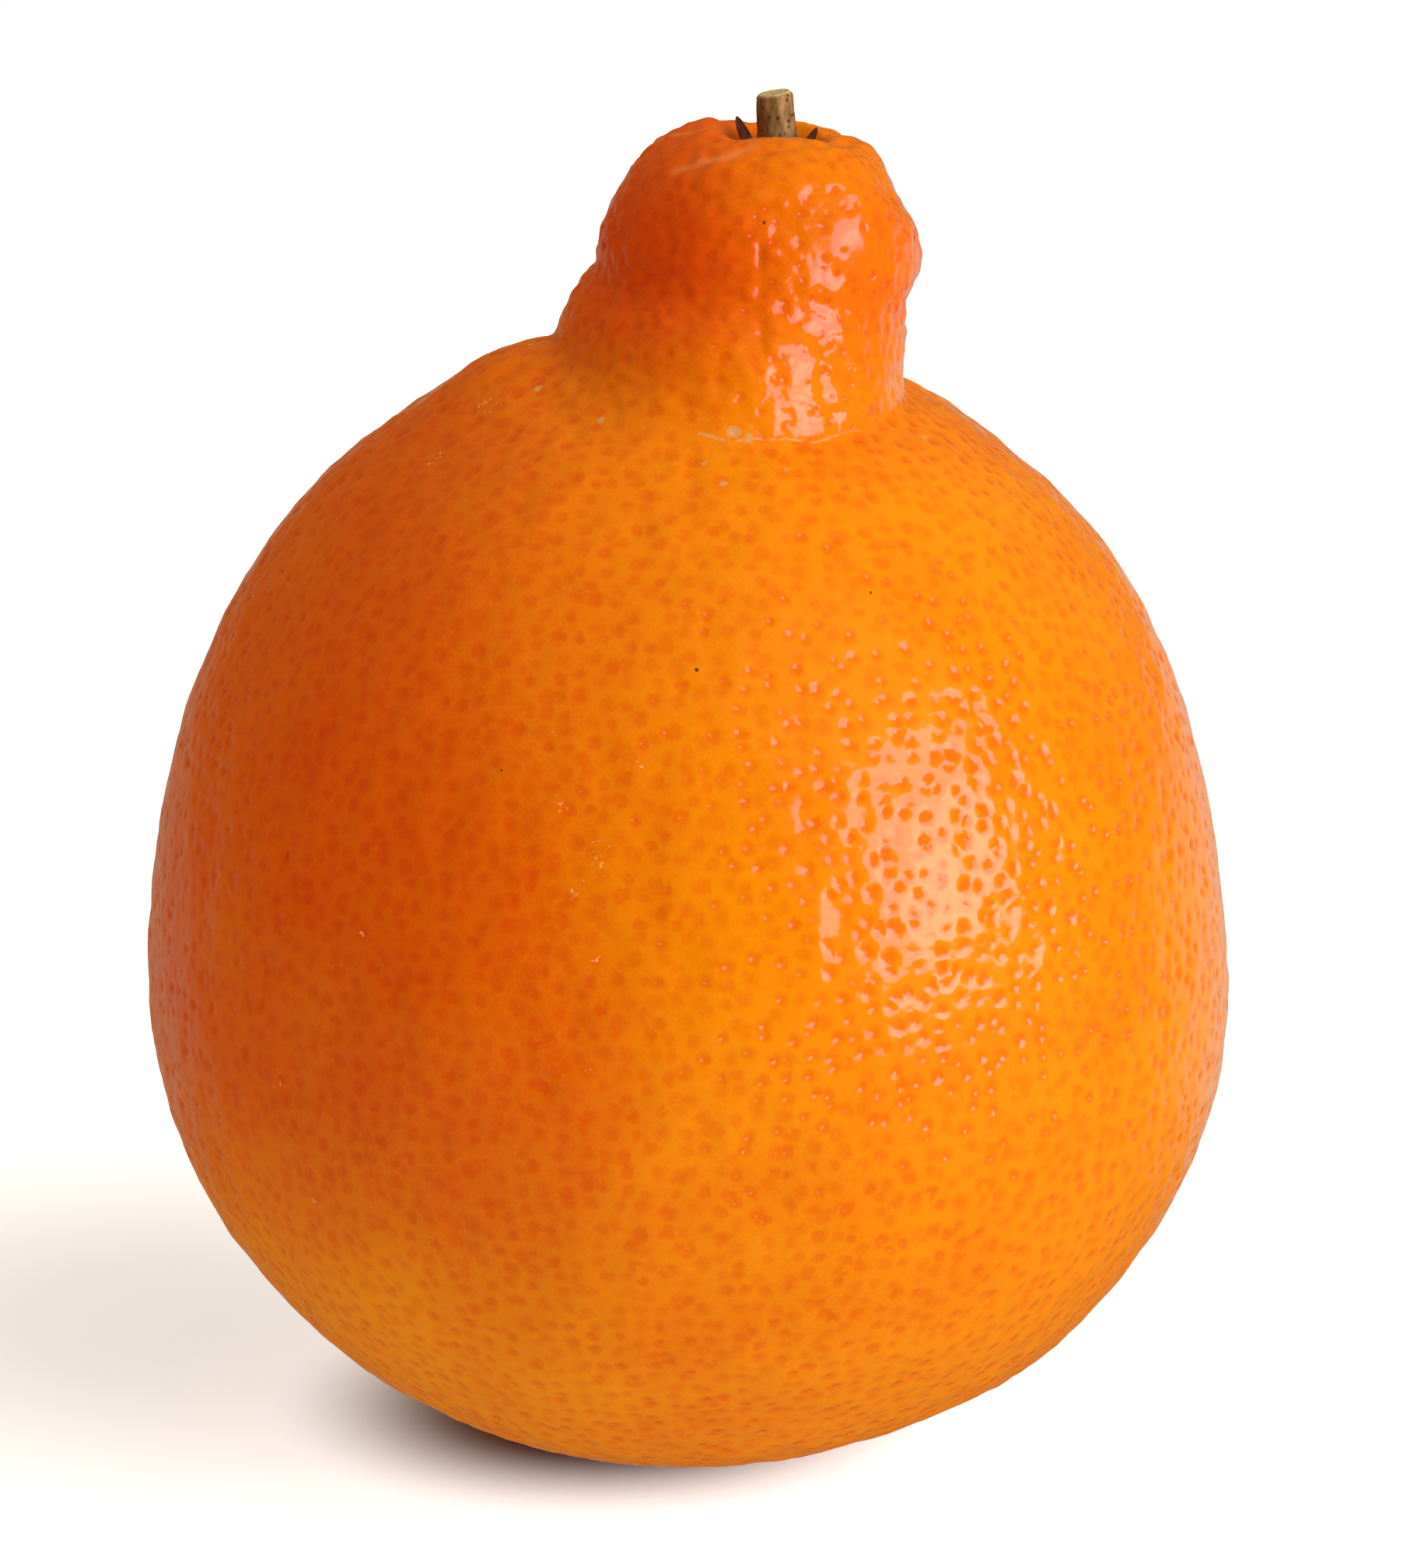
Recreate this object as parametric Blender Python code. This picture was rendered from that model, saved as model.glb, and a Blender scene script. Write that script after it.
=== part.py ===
"""A bell-necked tangelo standing on its base.

Three solids: the fruit, the dried calyx in the dimple of its crown, and the cut stub of its stem.
Metres, +Z up. The origin is the middle of the flat spot that the fruit rests on. The front is -Y, and the
neck leans to +X. Every fruit ring runs once around, and the rings climb from the flat spot to the dimple.
"""
import math

import bmesh
import bpy
import numpy as np

MM = 0.001

# Round body: two half ellipsoids that share an equator
BODY_RADIUS = 38.1 * MM
BODY_LOWER = 34.0 * MM
BODY_UPPER = 46.5 * MM
LOWER_FULLNESS = 0.011
UPPER_FULLNESS = 0.006
FLAT_CUT = 0.6 * MM
EQUATOR_Z = BODY_LOWER - FLAT_CUT

# Foot of the neck, a ring on the upper ellipsoid, as angles from its pole
FOOT_LEAN = math.radians(4.8)
FOOT_SIDE = math.radians(18.5)
FOOT_FRONT = math.radians(24.5)
FOOT_BACK = math.radians(21.5)

# Neck, knob, crown and dimple: left x, left z, right x, right z, half depth and front rise of each ring, in
# millimetres
NECK_RINGS = (
    (-8.0, 81.65, 15.15, 79.85, 14.0, 0.0),
    (-7.15, 83.25, 15.2, 81.95, 12.7, 0.0),
    (-6.35, 84.35, 15.6, 83.25, 11.9, 0.0),
    (-6.15, 85.75, 16.15, 84.95, 11.5, 0.0),
    (-5.75, 87.55, 15.7, 87.35, 11.2, 0.0),
    (-4.75, 89.75, 14.4, 89.65, 10.4, 0.0),
    (-3.5, 91.75, 13.45, 91.75, 9.2, 0.1),
    (-1.95, 93.35, 12.3, 92.95, 7.4, 0.3),
    (0.8, 94.4, 10.3, 93.5, 4.9, 0.5),
    (2.3, 93.8, 9.6, 93.0, 4.0, 0.5),
    (2.95, 92.4, 9.45, 92.25, 3.4, 0.2),
    (3.2, 91.55, 9.4, 91.55, 3.1, 0.0),
)
STALK_X = 6.3 * MM
FLOOR_Z = NECK_RINGS[-1][1] * MM

# Furrows that gather the crown around the stalk, on a ridge at RIDGE_RADIUS from it
CROWN_FURROWS = 5
CROWN_FURROW_DEPTH = 0.2 * MM
FURROW_WANDER = 1.1
RIDGE_RADIUS = 5.0 * MM
CROWN_REACH = 2.6 * MM
CROWN_START_Z = 91.0 * MM
CROWN_Z = 94.0 * MM

# Slow unevenness of the whole fruit, which fades out towards the flat spot and is slight in the dimple
LUMP_SEED = 7
LUMP_WAVES = 14
LUMP_LENGTHS = (13.0 * MM, 40.0 * MM)
LUMP_HEIGHT = 0.2 * MM
BASE_FADE_Z = 9.0 * MM
DIMPLE_RADIUS = 4.6 * MM
DIMPLE_CALM = 0.25

# Swellings and flats that stand out on this fruit: x, y, z, height and reach of each, in millimetres
SWELLINGS = (
    (-13.0, -2.0, 79.5, 1.7, 6.0),
    (-24.0, -1.0, 71.0, 0.75, 11.0),
    (-34.0, -1.0, 54.0, 0.4, 15.0),
    (33.0, 0.0, 60.0, 0.7, 15.0),
    (-31.0, -4.0, 17.0, -0.7, 15.0),
    (27.0, -5.0, 6.0, 0.5, 9.0),
    (13.0, -8.6, 89.3, 1.6, 4.4),
    (7.0, -10.5, 89.0, -0.5, 3.0),
)

# Mesh of the fruit
RING_POINTS = 80
LOWER_RINGS = 15
UPPER_RINGS = 15
RINGS_A_STATION = 2
SHARP_ANGLE = math.radians(50.0)

# Calyx, a button with five pointed sepals on the dimple's floor: reach and height of each ring as shares
GAP = 0.3 * MM
CALYX_BASE = FLOOR_Z + GAP
CALYX_RADIUS = 2.35 * MM
CALYX_THICKNESS = 0.8 * MM
CALYX_PROFILE = ((0.55, 0.0), (0.97, 0.1), (1.0, 0.45), (0.96, 0.9), (0.6, 1.0))
SEPALS = 5
SEPAL_POINTS = 12
SEPAL_REACH = 0.32
SEPAL_MIDDLE = 0.35

# Stub of the stem, standing on the calyx: its rings are at these shares of its length
STEM_BASE = CALYX_BASE + CALYX_THICKNESS + GAP
STEM_RADIUS = 1.4 * MM
STEM_FOOT_RADIUS = 1.65 * MM
STEM_FLARE = 0.09
STEM_TAPER = 0.12
STEM_LENGTH = 3.65 * MM
STEM_LEAN = -0.08
STEM_CUT_SLOPE = 0.16
STEM_CUT_ROUND = 0.16 * MM
STEM_ROUND_FROM = 0.9
STEM_POINTS = 22
STEM_STATIONS = (0.0, 0.05, 0.12, 0.22, 0.4, 0.6, 0.8, 0.93, 0.98, 1.0)

# Linear colour and roughness of each finish
FINISHES = {
    "waxy_peel": ((0.86, 0.17, 0.006), 0.35),
    "dried_calyx": ((0.07, 0.025, 0.01), 0.8),
    "stem_bark": ((0.3, 0.16, 0.06), 0.75),
}


def ease(value, low, high):
    """0 below low, 1 above high, and a smooth climb between."""
    t = np.clip((value - low) / (high - low), 0.0, 1.0)
    return t * t * (3.0 - 2.0 * t)


def foot_angle(turn):
    """Angle of the neck's foot from its own axis: wide in front, less so behind, narrow at the sides."""
    depth = np.where(np.sin(turn) < 0.0, FOOT_FRONT, FOOT_BACK)
    return FOOT_SIDE + (depth - FOOT_SIDE) * np.sin(turn) ** 2


def lower_half(turn, share):
    """Rings from the edge of the flat spot, share 0, up to the equator, share 1."""
    start = math.asin(EQUATOR_Z / BODY_LOWER)
    dip = np.broadcast_to(start * (1.0 - share[:, None]), (len(share), len(turn)))
    radius = BODY_RADIUS * np.cos(dip) * (1.0 + LOWER_FULLNESS * np.sin(2.0 * dip) ** 2)
    height = EQUATOR_Z - BODY_LOWER * np.sin(dip)
    return np.stack([radius * np.cos(turn), radius * np.sin(turn), height], axis=-1)


def upper_half(turn, share):
    """Circles on the upper ellipsoid from the equator, share 0, to the neck's foot, share 1.

    They shrink as they climb, and lean from the pole to +X.
    """
    share = share[:, None]
    polar = 0.5 * math.pi + (foot_angle(turn) - 0.5 * math.pi) * share
    lean = FOOT_LEAN * share
    across = np.sin(polar) * np.cos(turn)
    up = np.cos(polar)
    x = across * np.cos(lean) + up * np.sin(lean)
    z = up * np.cos(lean) - across * np.sin(lean)
    full = BODY_RADIUS * (1.0 + 4.0 * UPPER_FULLNESS * z ** 2 * (1.0 - z ** 2))
    return np.stack([full * x, full * np.sin(polar) * np.sin(turn), EQUATOR_Z + BODY_UPPER * z], axis=-1)


def neck_ring(turn, left_x, left_z, right_x, right_z, depth, rise):
    """A slanting oval ring through its left and right points, lifted in front by rise."""
    cross = np.cos(turn)
    x = 0.5 * (left_x + right_x) + 0.5 * (right_x - left_x) * cross
    z = 0.5 * (left_z + right_z) + 0.5 * (right_z - left_z) * cross
    z = z + rise * np.clip(-np.sin(turn), 0.0, 1.0) ** 4
    return MM * np.stack([x, depth * np.sin(turn), z], axis=-1)


def neck_and_dimple(turn, share):
    """Rings from the neck's foot, share 0, over the crown and down to the dimple's floor, share 1.

    Each ring point follows a Catmull-Rom curve through the same point of every ring in NECK_RINGS.
    """
    foot = upper_half(turn, np.array([1.0]))[0]
    rings = np.stack([foot] + [neck_ring(turn, *ring) for ring in NECK_RINGS])
    rings = np.concatenate([2.0 * rings[:1] - rings[1:2], rings, 2.0 * rings[-1:] - rings[-2:-1]])
    spans = len(rings) - 3
    place = np.clip(share * spans, 0.0, spans - 1e-9)
    first = place.astype(int)
    t = (place - first)[:, None, None]
    p0, p1, p2, p3 = (rings[first + step] for step in range(4))
    bend = (2.0 * p0 - 5.0 * p1 + 4.0 * p2 - p3) * t * t
    twist = (3.0 * (p1 - p2) + p3 - p0) * t ** 3
    return p1 + 0.5 * ((p2 - p0) * t + bend + twist)


def lumps(points):
    """Slow unevenness, about -1 to 1: a sum of plane waves with seeded directions, lengths and phases."""
    draw = np.random.default_rng(LUMP_SEED)
    heading = draw.normal(size=(LUMP_WAVES, 3))
    heading /= np.linalg.norm(heading, axis=1)[:, None]
    length = draw.uniform(*LUMP_LENGTHS, LUMP_WAVES)
    phase = draw.uniform(0.0, 2.0 * math.pi, LUMP_WAVES)
    waves = points @ (heading * (2.0 * math.pi / length)[:, None]).T + phase
    return np.sin(waves).sum(axis=-1) / math.sqrt(LUMP_WAVES)


def swellings(points):
    """Each swelling is a round bell of its own height and reach about its own place."""
    total = np.zeros(points.shape[:-1])
    for x, y, z, height, reach in SWELLINGS:
        away = np.linalg.norm(points - MM * np.array([x, y, z]), axis=-1)
        total += MM * height * np.exp(-(away / (MM * reach)) ** 2)
    return total


def uneven(points):
    """Adds the lumps and the crown's furrows, and leaves the flat spot and the dimple's floor as they are."""
    outward = points - np.array([0.0, 0.0, EQUATOR_Z])
    outward /= np.linalg.norm(outward, axis=-1)[..., None]
    stalk = points - np.array([STALK_X, 0.0, 0.0])
    from_stalk = np.hypot(stalk[..., 0], stalk[..., 1])
    in_dimple = (points[..., 2] > FLOOR_Z - MM) & (from_stalk < DIMPLE_RADIUS)
    calm = ease(points[..., 2], 0.0, BASE_FADE_Z) * np.where(in_dimple, DIMPLE_CALM, 1.0)
    around = np.arctan2(stalk[..., 1], stalk[..., 0])
    crown = np.exp(-((from_stalk - RIDGE_RADIUS) / CROWN_REACH) ** 2)
    crown *= ease(points[..., 2], CROWN_START_Z, CROWN_Z)
    wander = FURROW_WANDER * np.sin(2.0 * around)
    furrow = CROWN_FURROW_DEPTH * crown * np.cos(CROWN_FURROWS * around + wander)
    slow = (LUMP_HEIGHT * lumps(points) + swellings(points)) * calm
    return points + outward * (slow + furrow)[..., None]


def fruit_rings():
    """All rings of the fruit, from the flat spot's edge to the dimple's floor."""
    turn = np.linspace(0.0, 2.0 * math.pi, RING_POINTS, endpoint=False)
    lower = lower_half(turn, np.linspace(0.0, 1.0, LOWER_RINGS, endpoint=False))
    upper = upper_half(turn, np.linspace(0.0, 1.0, UPPER_RINGS, endpoint=False))
    spans = len(NECK_RINGS) * RINGS_A_STATION
    neck = neck_and_dimple(turn, np.linspace(0.0, 1.0, spans + 1))
    return uneven(np.concatenate([lower, upper, neck]))


def calyx_rings():
    """A thin button with pointed sepals at its rim, from the middle of its underside to that of its top."""
    turn = np.linspace(0.0, 2.0 * math.pi, SEPAL_POINTS * SEPALS, endpoint=False)
    point = 0.5 + 0.5 * np.cos(SEPALS * turn)
    rim = CALYX_RADIUS * (1.0 + SEPAL_REACH * (point ** 2 - SEPAL_MIDDLE))
    rings = []
    for share, height in CALYX_PROFILE:
        x = STALK_X + share * rim * np.cos(turn)
        z = np.full_like(turn, CALYX_BASE + CALYX_THICKNESS * height)
        rings.append(np.stack([x, share * rim * np.sin(turn), z], axis=-1))
    return np.stack(rings)


def stem_rings():
    """A round stub that flares at its foot, leans a little and ends in a slanting cut."""
    turn = np.linspace(0.0, 2.0 * math.pi, STEM_POINTS, endpoint=False)
    rings = []
    for share in STEM_STATIONS:
        flare = (STEM_FOOT_RADIUS - STEM_RADIUS) * math.exp(-share / STEM_FLARE)
        taper = STEM_TAPER * STEM_RADIUS * share
        worn = STEM_CUT_ROUND * ease(share, STEM_ROUND_FROM, 1.0)
        radius = STEM_RADIUS + flare - taper - worn
        x = STALK_X + STEM_LEAN * STEM_LENGTH * share + radius * np.cos(turn)
        slant = STEM_CUT_SLOPE * radius * np.cos(turn) * share
        rings.append(np.stack([x, radius * np.sin(turn), STEM_BASE + STEM_LENGTH * share + slant], axis=-1))
    return np.stack(rings)


def finish_material(name):
    """A plain coat of the finish that the real surface has."""
    colour, roughness = FINISHES[name]
    material = bpy.data.materials.new(name)
    material.use_nodes = True
    shader = material.node_tree.nodes["Principled BSDF"]
    shader.inputs["Base Color"].default_value = (*colour, 1.0)
    shader.inputs["Roughness"].default_value = roughness
    shader.inputs["Metallic"].default_value = 0.0
    material.diffuse_color = (*colour, 1.0)
    return material


def skin(name, rings, material):
    """One closed solid through a stack of rings, with a flat cap on the first and on the last."""
    mesh = bpy.data.meshes.new(name)
    sheet = bmesh.new()
    loops = [[sheet.verts.new(point) for point in ring] for ring in rings]
    for low, high in zip(loops, loops[1:]):
        for i, start in enumerate(low):
            after = (i + 1) % len(low)
            sheet.faces.new((start, low[after], high[after], high[i]))
    sheet.faces.new(list(reversed(loops[0])))
    sheet.faces.new(loops[-1])
    bmesh.ops.recalc_face_normals(sheet, faces=sheet.faces)
    sheet.to_mesh(mesh)
    sheet.free()
    mesh.shade_smooth()
    mesh.set_sharp_from_angle(angle=SHARP_ANGLE)
    mesh.materials.append(material)
    solid = bpy.data.objects.new(name, mesh)
    bpy.context.scene.collection.objects.link(solid)
    return solid


def main():
    for old in list(bpy.data.objects):
        bpy.data.objects.remove(old, do_unlink=True)
    skin("fruit", fruit_rings(), finish_material("waxy_peel"))
    skin("calyx", calyx_rings(), finish_material("dried_calyx"))
    skin("stem", stem_rings(), finish_material("stem_bark"))


main()
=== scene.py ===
# %% [markdown]
# # A bell-necked tangelo
# This lesson dresses a fruit that already exists as plain solids. A tangelo is a round citrus fruit with a
# tall neck, a puckered crown, and a dry stalk in a dimple on top. The frame holds its sizes and its place.
# Each cell below adds one thing that the eye reads: form, pits in the peel, wax, scars, bark, and the light.

# %% Load the fixed frame
import math

import bpy
import numpy as np
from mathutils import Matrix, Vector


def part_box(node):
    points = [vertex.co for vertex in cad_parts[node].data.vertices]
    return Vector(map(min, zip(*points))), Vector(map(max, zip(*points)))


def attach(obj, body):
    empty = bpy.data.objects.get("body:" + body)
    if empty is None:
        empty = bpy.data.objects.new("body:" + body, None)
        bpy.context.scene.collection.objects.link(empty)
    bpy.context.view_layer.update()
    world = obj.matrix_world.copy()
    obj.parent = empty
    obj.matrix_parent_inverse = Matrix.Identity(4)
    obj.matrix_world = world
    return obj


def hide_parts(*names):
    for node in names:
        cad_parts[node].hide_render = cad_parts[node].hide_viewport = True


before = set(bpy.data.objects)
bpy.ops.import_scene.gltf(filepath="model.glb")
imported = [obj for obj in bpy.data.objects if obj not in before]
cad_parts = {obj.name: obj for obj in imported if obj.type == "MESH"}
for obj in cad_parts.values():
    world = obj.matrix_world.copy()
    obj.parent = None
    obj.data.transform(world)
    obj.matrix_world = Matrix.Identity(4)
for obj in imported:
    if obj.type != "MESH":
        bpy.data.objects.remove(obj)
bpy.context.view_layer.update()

# %% [markdown]
# ## Four small helpers
# Colours are given as hex codes in sRGB, but Blender mixes light in linear numbers, so one function
# turns the first into the second. One fills the sockets of a node, and one adds any node with its settings.
# The last eases a value from 0 to 1, which is how nature starts and ends most things.

# %% Helpers
MM = 0.001


def paint(code):
    """Linear red, green, blue and alpha of an sRGB hex colour."""
    light = np.array([int(code[i:i + 2], 16) for i in (1, 3, 5)]) / 255.0
    linear = np.where(light <= 0.04045, light / 12.92, ((light + 0.055) / 1.055) ** 2.4)
    return (*linear.tolist(), 1.0)


def plug(tree, node, sockets):
    """Gives each named socket of a node a link from an output, a hex colour or a value."""
    for socket, value in sockets.items():
        if isinstance(value, bpy.types.NodeSocket):
            tree.links.new(value, node.inputs[socket])
        else:
            node.inputs[socket].default_value = paint(value) if isinstance(value, str) else value


def add(tree, kind, sockets=None, **settings):
    """Adds a node with its settings, plugs its sockets and returns its outputs."""
    made = tree.nodes.new("ShaderNode" + kind)
    for name, value in settings.items():
        setattr(made, name, value)
    plug(tree, made, sockets or {})
    return made.outputs


def ease(value, low, high):
    """0 below low, 1 above high, and a smooth climb between."""
    t = np.clip((value - low) / (high - low), 0.0, 1.0)
    return t * t * (3.0 - 2.0 * t)


print("orange peel in linear light:", [round(v, 3) for v in paint("#E2620C")])

# %% [markdown]
# ## Camera
# The fruit stands on a table and is seen from a little above, through a long lens, so that its sides hardly
# spread. The view is worked out from real sizes: how many millimetres of fruit the frame's height takes in at
# the lens's distance.

# %% Camera
VIEW_DOWN = math.radians(15.0)
VIEW_DISTANCE = 0.5
VIEW_HEIGHT = 110.3 * MM
LOOK_AT = np.array([1.67 * MM, 0.0, 47.5 * MM])
SENSOR = 36.0

camera_data = bpy.data.cameras.new("camera")
camera_data.sensor_width = SENSOR
camera_data.lens = SENSOR * VIEW_DISTANCE / VIEW_HEIGHT
camera_data.clip_start = 0.01
camera = bpy.data.objects.new("camera", camera_data)
camera.location = LOOK_AT + VIEW_DISTANCE * np.array([0.0, -math.cos(VIEW_DOWN), math.sin(VIEW_DOWN)])
camera.rotation_euler = (0.5 * math.pi - VIEW_DOWN, 0.0, 0.0)
bpy.context.scene.collection.objects.link(camera)
bpy.context.scene.camera = camera
print("lens", round(camera_data.lens, 1), "mm")

# %% [markdown]
# ## The form of the fruit
# The body is two half ellipsoids that share an equator. Where the neck begins, a ring is drawn on the upper
# one, and the neck climbs from it through a few slanting oval rings, over the crown and down into the dimple.
# One function of two numbers gives every point: `turn` goes once around, and `climb` goes from the middle of
# the flat spot underneath to the middle of the dimple's floor. Sculpting by hand would give one shape only,
# but a function can be asked for any point, and so for any mesh and for the place of each pit.

# %% Sizes of the form
BODY_RADIUS = 38.1 * MM
BODY_LOWER = 34.0 * MM
BODY_UPPER = 46.5 * MM
LOWER_FULLNESS = 0.011
UPPER_FULLNESS = 0.006
FLAT_CUT = 0.6 * MM
EQUATOR_Z = BODY_LOWER - FLAT_CUT
DIP = math.asin(EQUATOR_Z / BODY_LOWER)
FLAT_RADIUS = BODY_RADIUS * math.cos(DIP) * (1.0 + LOWER_FULLNESS * math.sin(2.0 * DIP) ** 2)

FOOT_LEAN = math.radians(4.8)
FOOT_SIDE = math.radians(18.5)
FOOT_FRONT = math.radians(24.5)
FOOT_BACK = math.radians(21.5)

# Left x, left z, right x, right z, half depth and front rise of each ring of the neck, in millimetres
NECK_RINGS = (
    (-8.0, 81.65, 15.15, 79.85, 14.0, 0.0),
    (-7.15, 83.25, 15.2, 81.95, 12.7, 0.0),
    (-6.35, 84.35, 15.6, 83.25, 11.9, 0.0),
    (-6.15, 85.75, 16.15, 84.95, 11.5, 0.0),
    (-5.75, 87.55, 15.7, 87.35, 11.2, 0.0),
    (-4.75, 89.75, 14.4, 89.65, 10.4, 0.0),
    (-3.5, 91.75, 13.45, 91.75, 9.2, 0.1),
    (-1.95, 93.35, 12.3, 92.95, 7.4, 0.3),
    (0.8, 94.4, 10.3, 93.5, 4.9, 0.5),
    (2.3, 93.8, 9.6, 93.0, 4.0, 0.5),
    (2.95, 92.4, 9.45, 92.25, 3.4, 0.2),
    (3.2, 91.55, 9.4, 91.55, 3.1, 0.0),
)
FLOOR_Z = NECK_RINGS[-1][1] * MM
STALK_X = 6.3 * MM


# %% Points of the form
def lower_half(turn, share):
    """Ellipse from the flat spot's edge at share 0 to the equator at share 1, carried around the axis."""
    dip = DIP * (1.0 - share)
    radius = BODY_RADIUS * np.cos(dip) * (1.0 + LOWER_FULLNESS * np.sin(2.0 * dip) ** 2)
    height = EQUATOR_Z - BODY_LOWER * np.sin(dip)
    return np.stack([radius * np.cos(turn), radius * np.sin(turn), height], axis=-1)


def upper_half(turn, share):
    """Circles on the upper ellipsoid that shrink from the equator to the neck's foot and lean on the way."""
    depth = np.where(np.sin(turn) < 0.0, FOOT_FRONT, FOOT_BACK)
    foot = FOOT_SIDE + (depth - FOOT_SIDE) * np.sin(turn) ** 2
    polar = 0.5 * math.pi + (foot - 0.5 * math.pi) * share
    lean = FOOT_LEAN * share
    across = np.sin(polar) * np.cos(turn)
    up = np.cos(polar)
    x = across * np.cos(lean) + up * np.sin(lean)
    z = up * np.cos(lean) - across * np.sin(lean)
    full = BODY_RADIUS * (1.0 + 4.0 * UPPER_FULLNESS * z ** 2 * (1.0 - z ** 2))
    return np.stack([full * x, full * np.sin(polar) * np.sin(turn), EQUATOR_Z + BODY_UPPER * z], axis=-1)


def neck_ring(turn, left_x, left_z, right_x, right_z, depth, rise):
    """A slanting oval ring through its left and right points, lifted in front by rise."""
    cross = np.cos(turn)
    x = 0.5 * (left_x + right_x) + 0.5 * (right_x - left_x) * cross
    z = 0.5 * (left_z + right_z) + 0.5 * (right_z - left_z) * cross
    z = z + rise * np.clip(-np.sin(turn), 0.0, 1.0) ** 4
    return MM * np.stack([x, depth * np.sin(turn), z], axis=-1)


def neck_and_dimple(turn, share):
    """Catmull-Rom curve through the same point of every ring, from the foot to the dimple's floor."""
    rings = np.stack([upper_half(turn, np.ones_like(turn))] + [neck_ring(turn, *ring) for ring in NECK_RINGS])
    rings = np.concatenate([2.0 * rings[:1] - rings[1:2], rings, 2.0 * rings[-1:] - rings[-2:-1]])
    spans = len(rings) - 3
    place = np.clip(share * spans, 0.0, spans - 1e-9)
    first = place.astype(int)
    t = (place - first)[..., None]
    p0, p1, p2, p3 = (np.take_along_axis(rings, (first + k)[None, ..., None], axis=0)[0] for k in range(4))
    bend = (2.0 * p0 - 5.0 * p1 + 4.0 * p2 - p3) * t * t
    twist = (3.0 * (p1 - p2) + p3 - p0) * t ** 3
    return p1 + 0.5 * ((p2 - p0) * t + bend + twist)


def form(turn, climb):
    """Flat spot for climb 0 to 1, lower half to 2, upper half to 3, neck to 4 and the dimple's floor to 5."""
    turn, climb = np.broadcast_arrays(turn, climb)
    zone = np.clip(climb.astype(int), 0, 4)[..., None]
    share = np.clip(climb - zone[..., 0], 0.0, 1.0)
    out = FLAT_RADIUS * share
    spot = np.stack([out * np.cos(turn), out * np.sin(turn), np.zeros_like(out)], axis=-1)
    edge = neck_ring(turn, *NECK_RINGS[-1])
    floor = edge + (np.array([STALK_X, 0.0, FLOOR_Z]) - edge) * share[..., None]
    zones = [spot, lower_half(turn, share), upper_half(turn, share), neck_and_dimple(turn, share), floor]
    return np.select([zone == k for k in range(5)], zones)


print("top of the crown", np.round(1000.0 * form(np.array([math.pi]), np.array([3.75])), 1))

# %% [markdown]
# ## Unevenness
# No fruit is a perfect turned shape. Slow lumps are a sum of plane waves with random headings, which is a
# cheap smooth noise with no grid in it. A few swellings are listed one by one, because this fruit has them,
# and furrows gather the crown around the stalk.

# %% Slow unevenness
LUMP_SEED = 7
LUMP_WAVES = 14
LUMP_LENGTHS = (13.0 * MM, 40.0 * MM)
LUMP_HEIGHT = 0.2 * MM
LUMPS_WHOLE = 9.0 * MM
DIMPLE_LUMPS = 0.25
CROWN_FURROWS = 5
CROWN_FURROW_DEPTH = 0.2 * MM
CROWN_Z = 94.0 * MM
CROWN_REACH = 2.6 * MM
CROWN_RING = 5.0 * MM
CROWN_LOW = 91.0 * MM
DIMPLE_RIM = 4.6 * MM
FURROW_SWAY = 1.1

# x, y, z, height and reach of each swelling or flat, in millimetres
SWELLINGS = (
    (-13.0, -2.0, 79.5, 1.7, 6.0),
    (-24.0, -1.0, 71.0, 0.75, 11.0),
    (-34.0, -1.0, 54.0, 0.4, 15.0),
    (33.0, 0.0, 60.0, 0.7, 15.0),
    (-31.0, -4.0, 17.0, -0.7, 15.0),
    (27.0, -5.0, 6.0, 0.5, 9.0),
    (13.0, -8.6, 89.3, 1.6, 4.4),
    (7.0, -10.5, 89.0, -0.5, 3.0),
)


def waves(points, seed, count, lengths):
    """Smooth noise of about -1 to 1: plane waves with seeded headings, lengths and phases, summed."""
    draw = np.random.default_rng(seed)
    heading = draw.normal(size=(count, 3))
    heading /= np.linalg.norm(heading, axis=1)[:, None]
    length = draw.uniform(*lengths, count)
    phase = draw.uniform(0.0, 2.0 * math.pi, count)
    steepness = heading * (2.0 * math.pi / length)[:, None]
    return np.sin(points @ steepness.T + phase).sum(axis=-1) / math.sqrt(count)


def uneven(points):
    """Moves each point along the ray from the equator's centre by the lumps, swellings and furrows there."""
    outward = points - np.array([0.0, 0.0, EQUATOR_Z])
    outward /= np.linalg.norm(outward, axis=-1)[..., None]
    height = LUMP_HEIGHT * waves(points, LUMP_SEED, LUMP_WAVES, LUMP_LENGTHS)
    for x, y, z, rise, reach in SWELLINGS:
        away = np.linalg.norm(points - MM * np.array([x, y, z]), axis=-1)
        height += MM * rise * np.exp(-(away / (MM * reach)) ** 2)
    stalk = points - np.array([STALK_X, 0.0, 0.0])
    from_stalk = np.hypot(stalk[..., 0], stalk[..., 1])
    in_dimple = (points[..., 2] > FLOOR_Z - MM) & (from_stalk < DIMPLE_RIM)
    height *= ease(points[..., 2], 0.0, LUMPS_WHOLE) * np.where(in_dimple, DIMPLE_LUMPS, 1.0)
    around = np.arctan2(stalk[..., 1], stalk[..., 0])
    crown = np.exp(-((from_stalk - CROWN_RING) / CROWN_REACH) ** 2)
    crown *= ease(points[..., 2], CROWN_LOW, CROWN_Z)
    furrow = CROWN_FURROW_DEPTH * crown * np.cos(CROWN_FURROWS * around + FURROW_SWAY * np.sin(2.0 * around))
    return points + outward * (height + furrow)[..., None]


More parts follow.
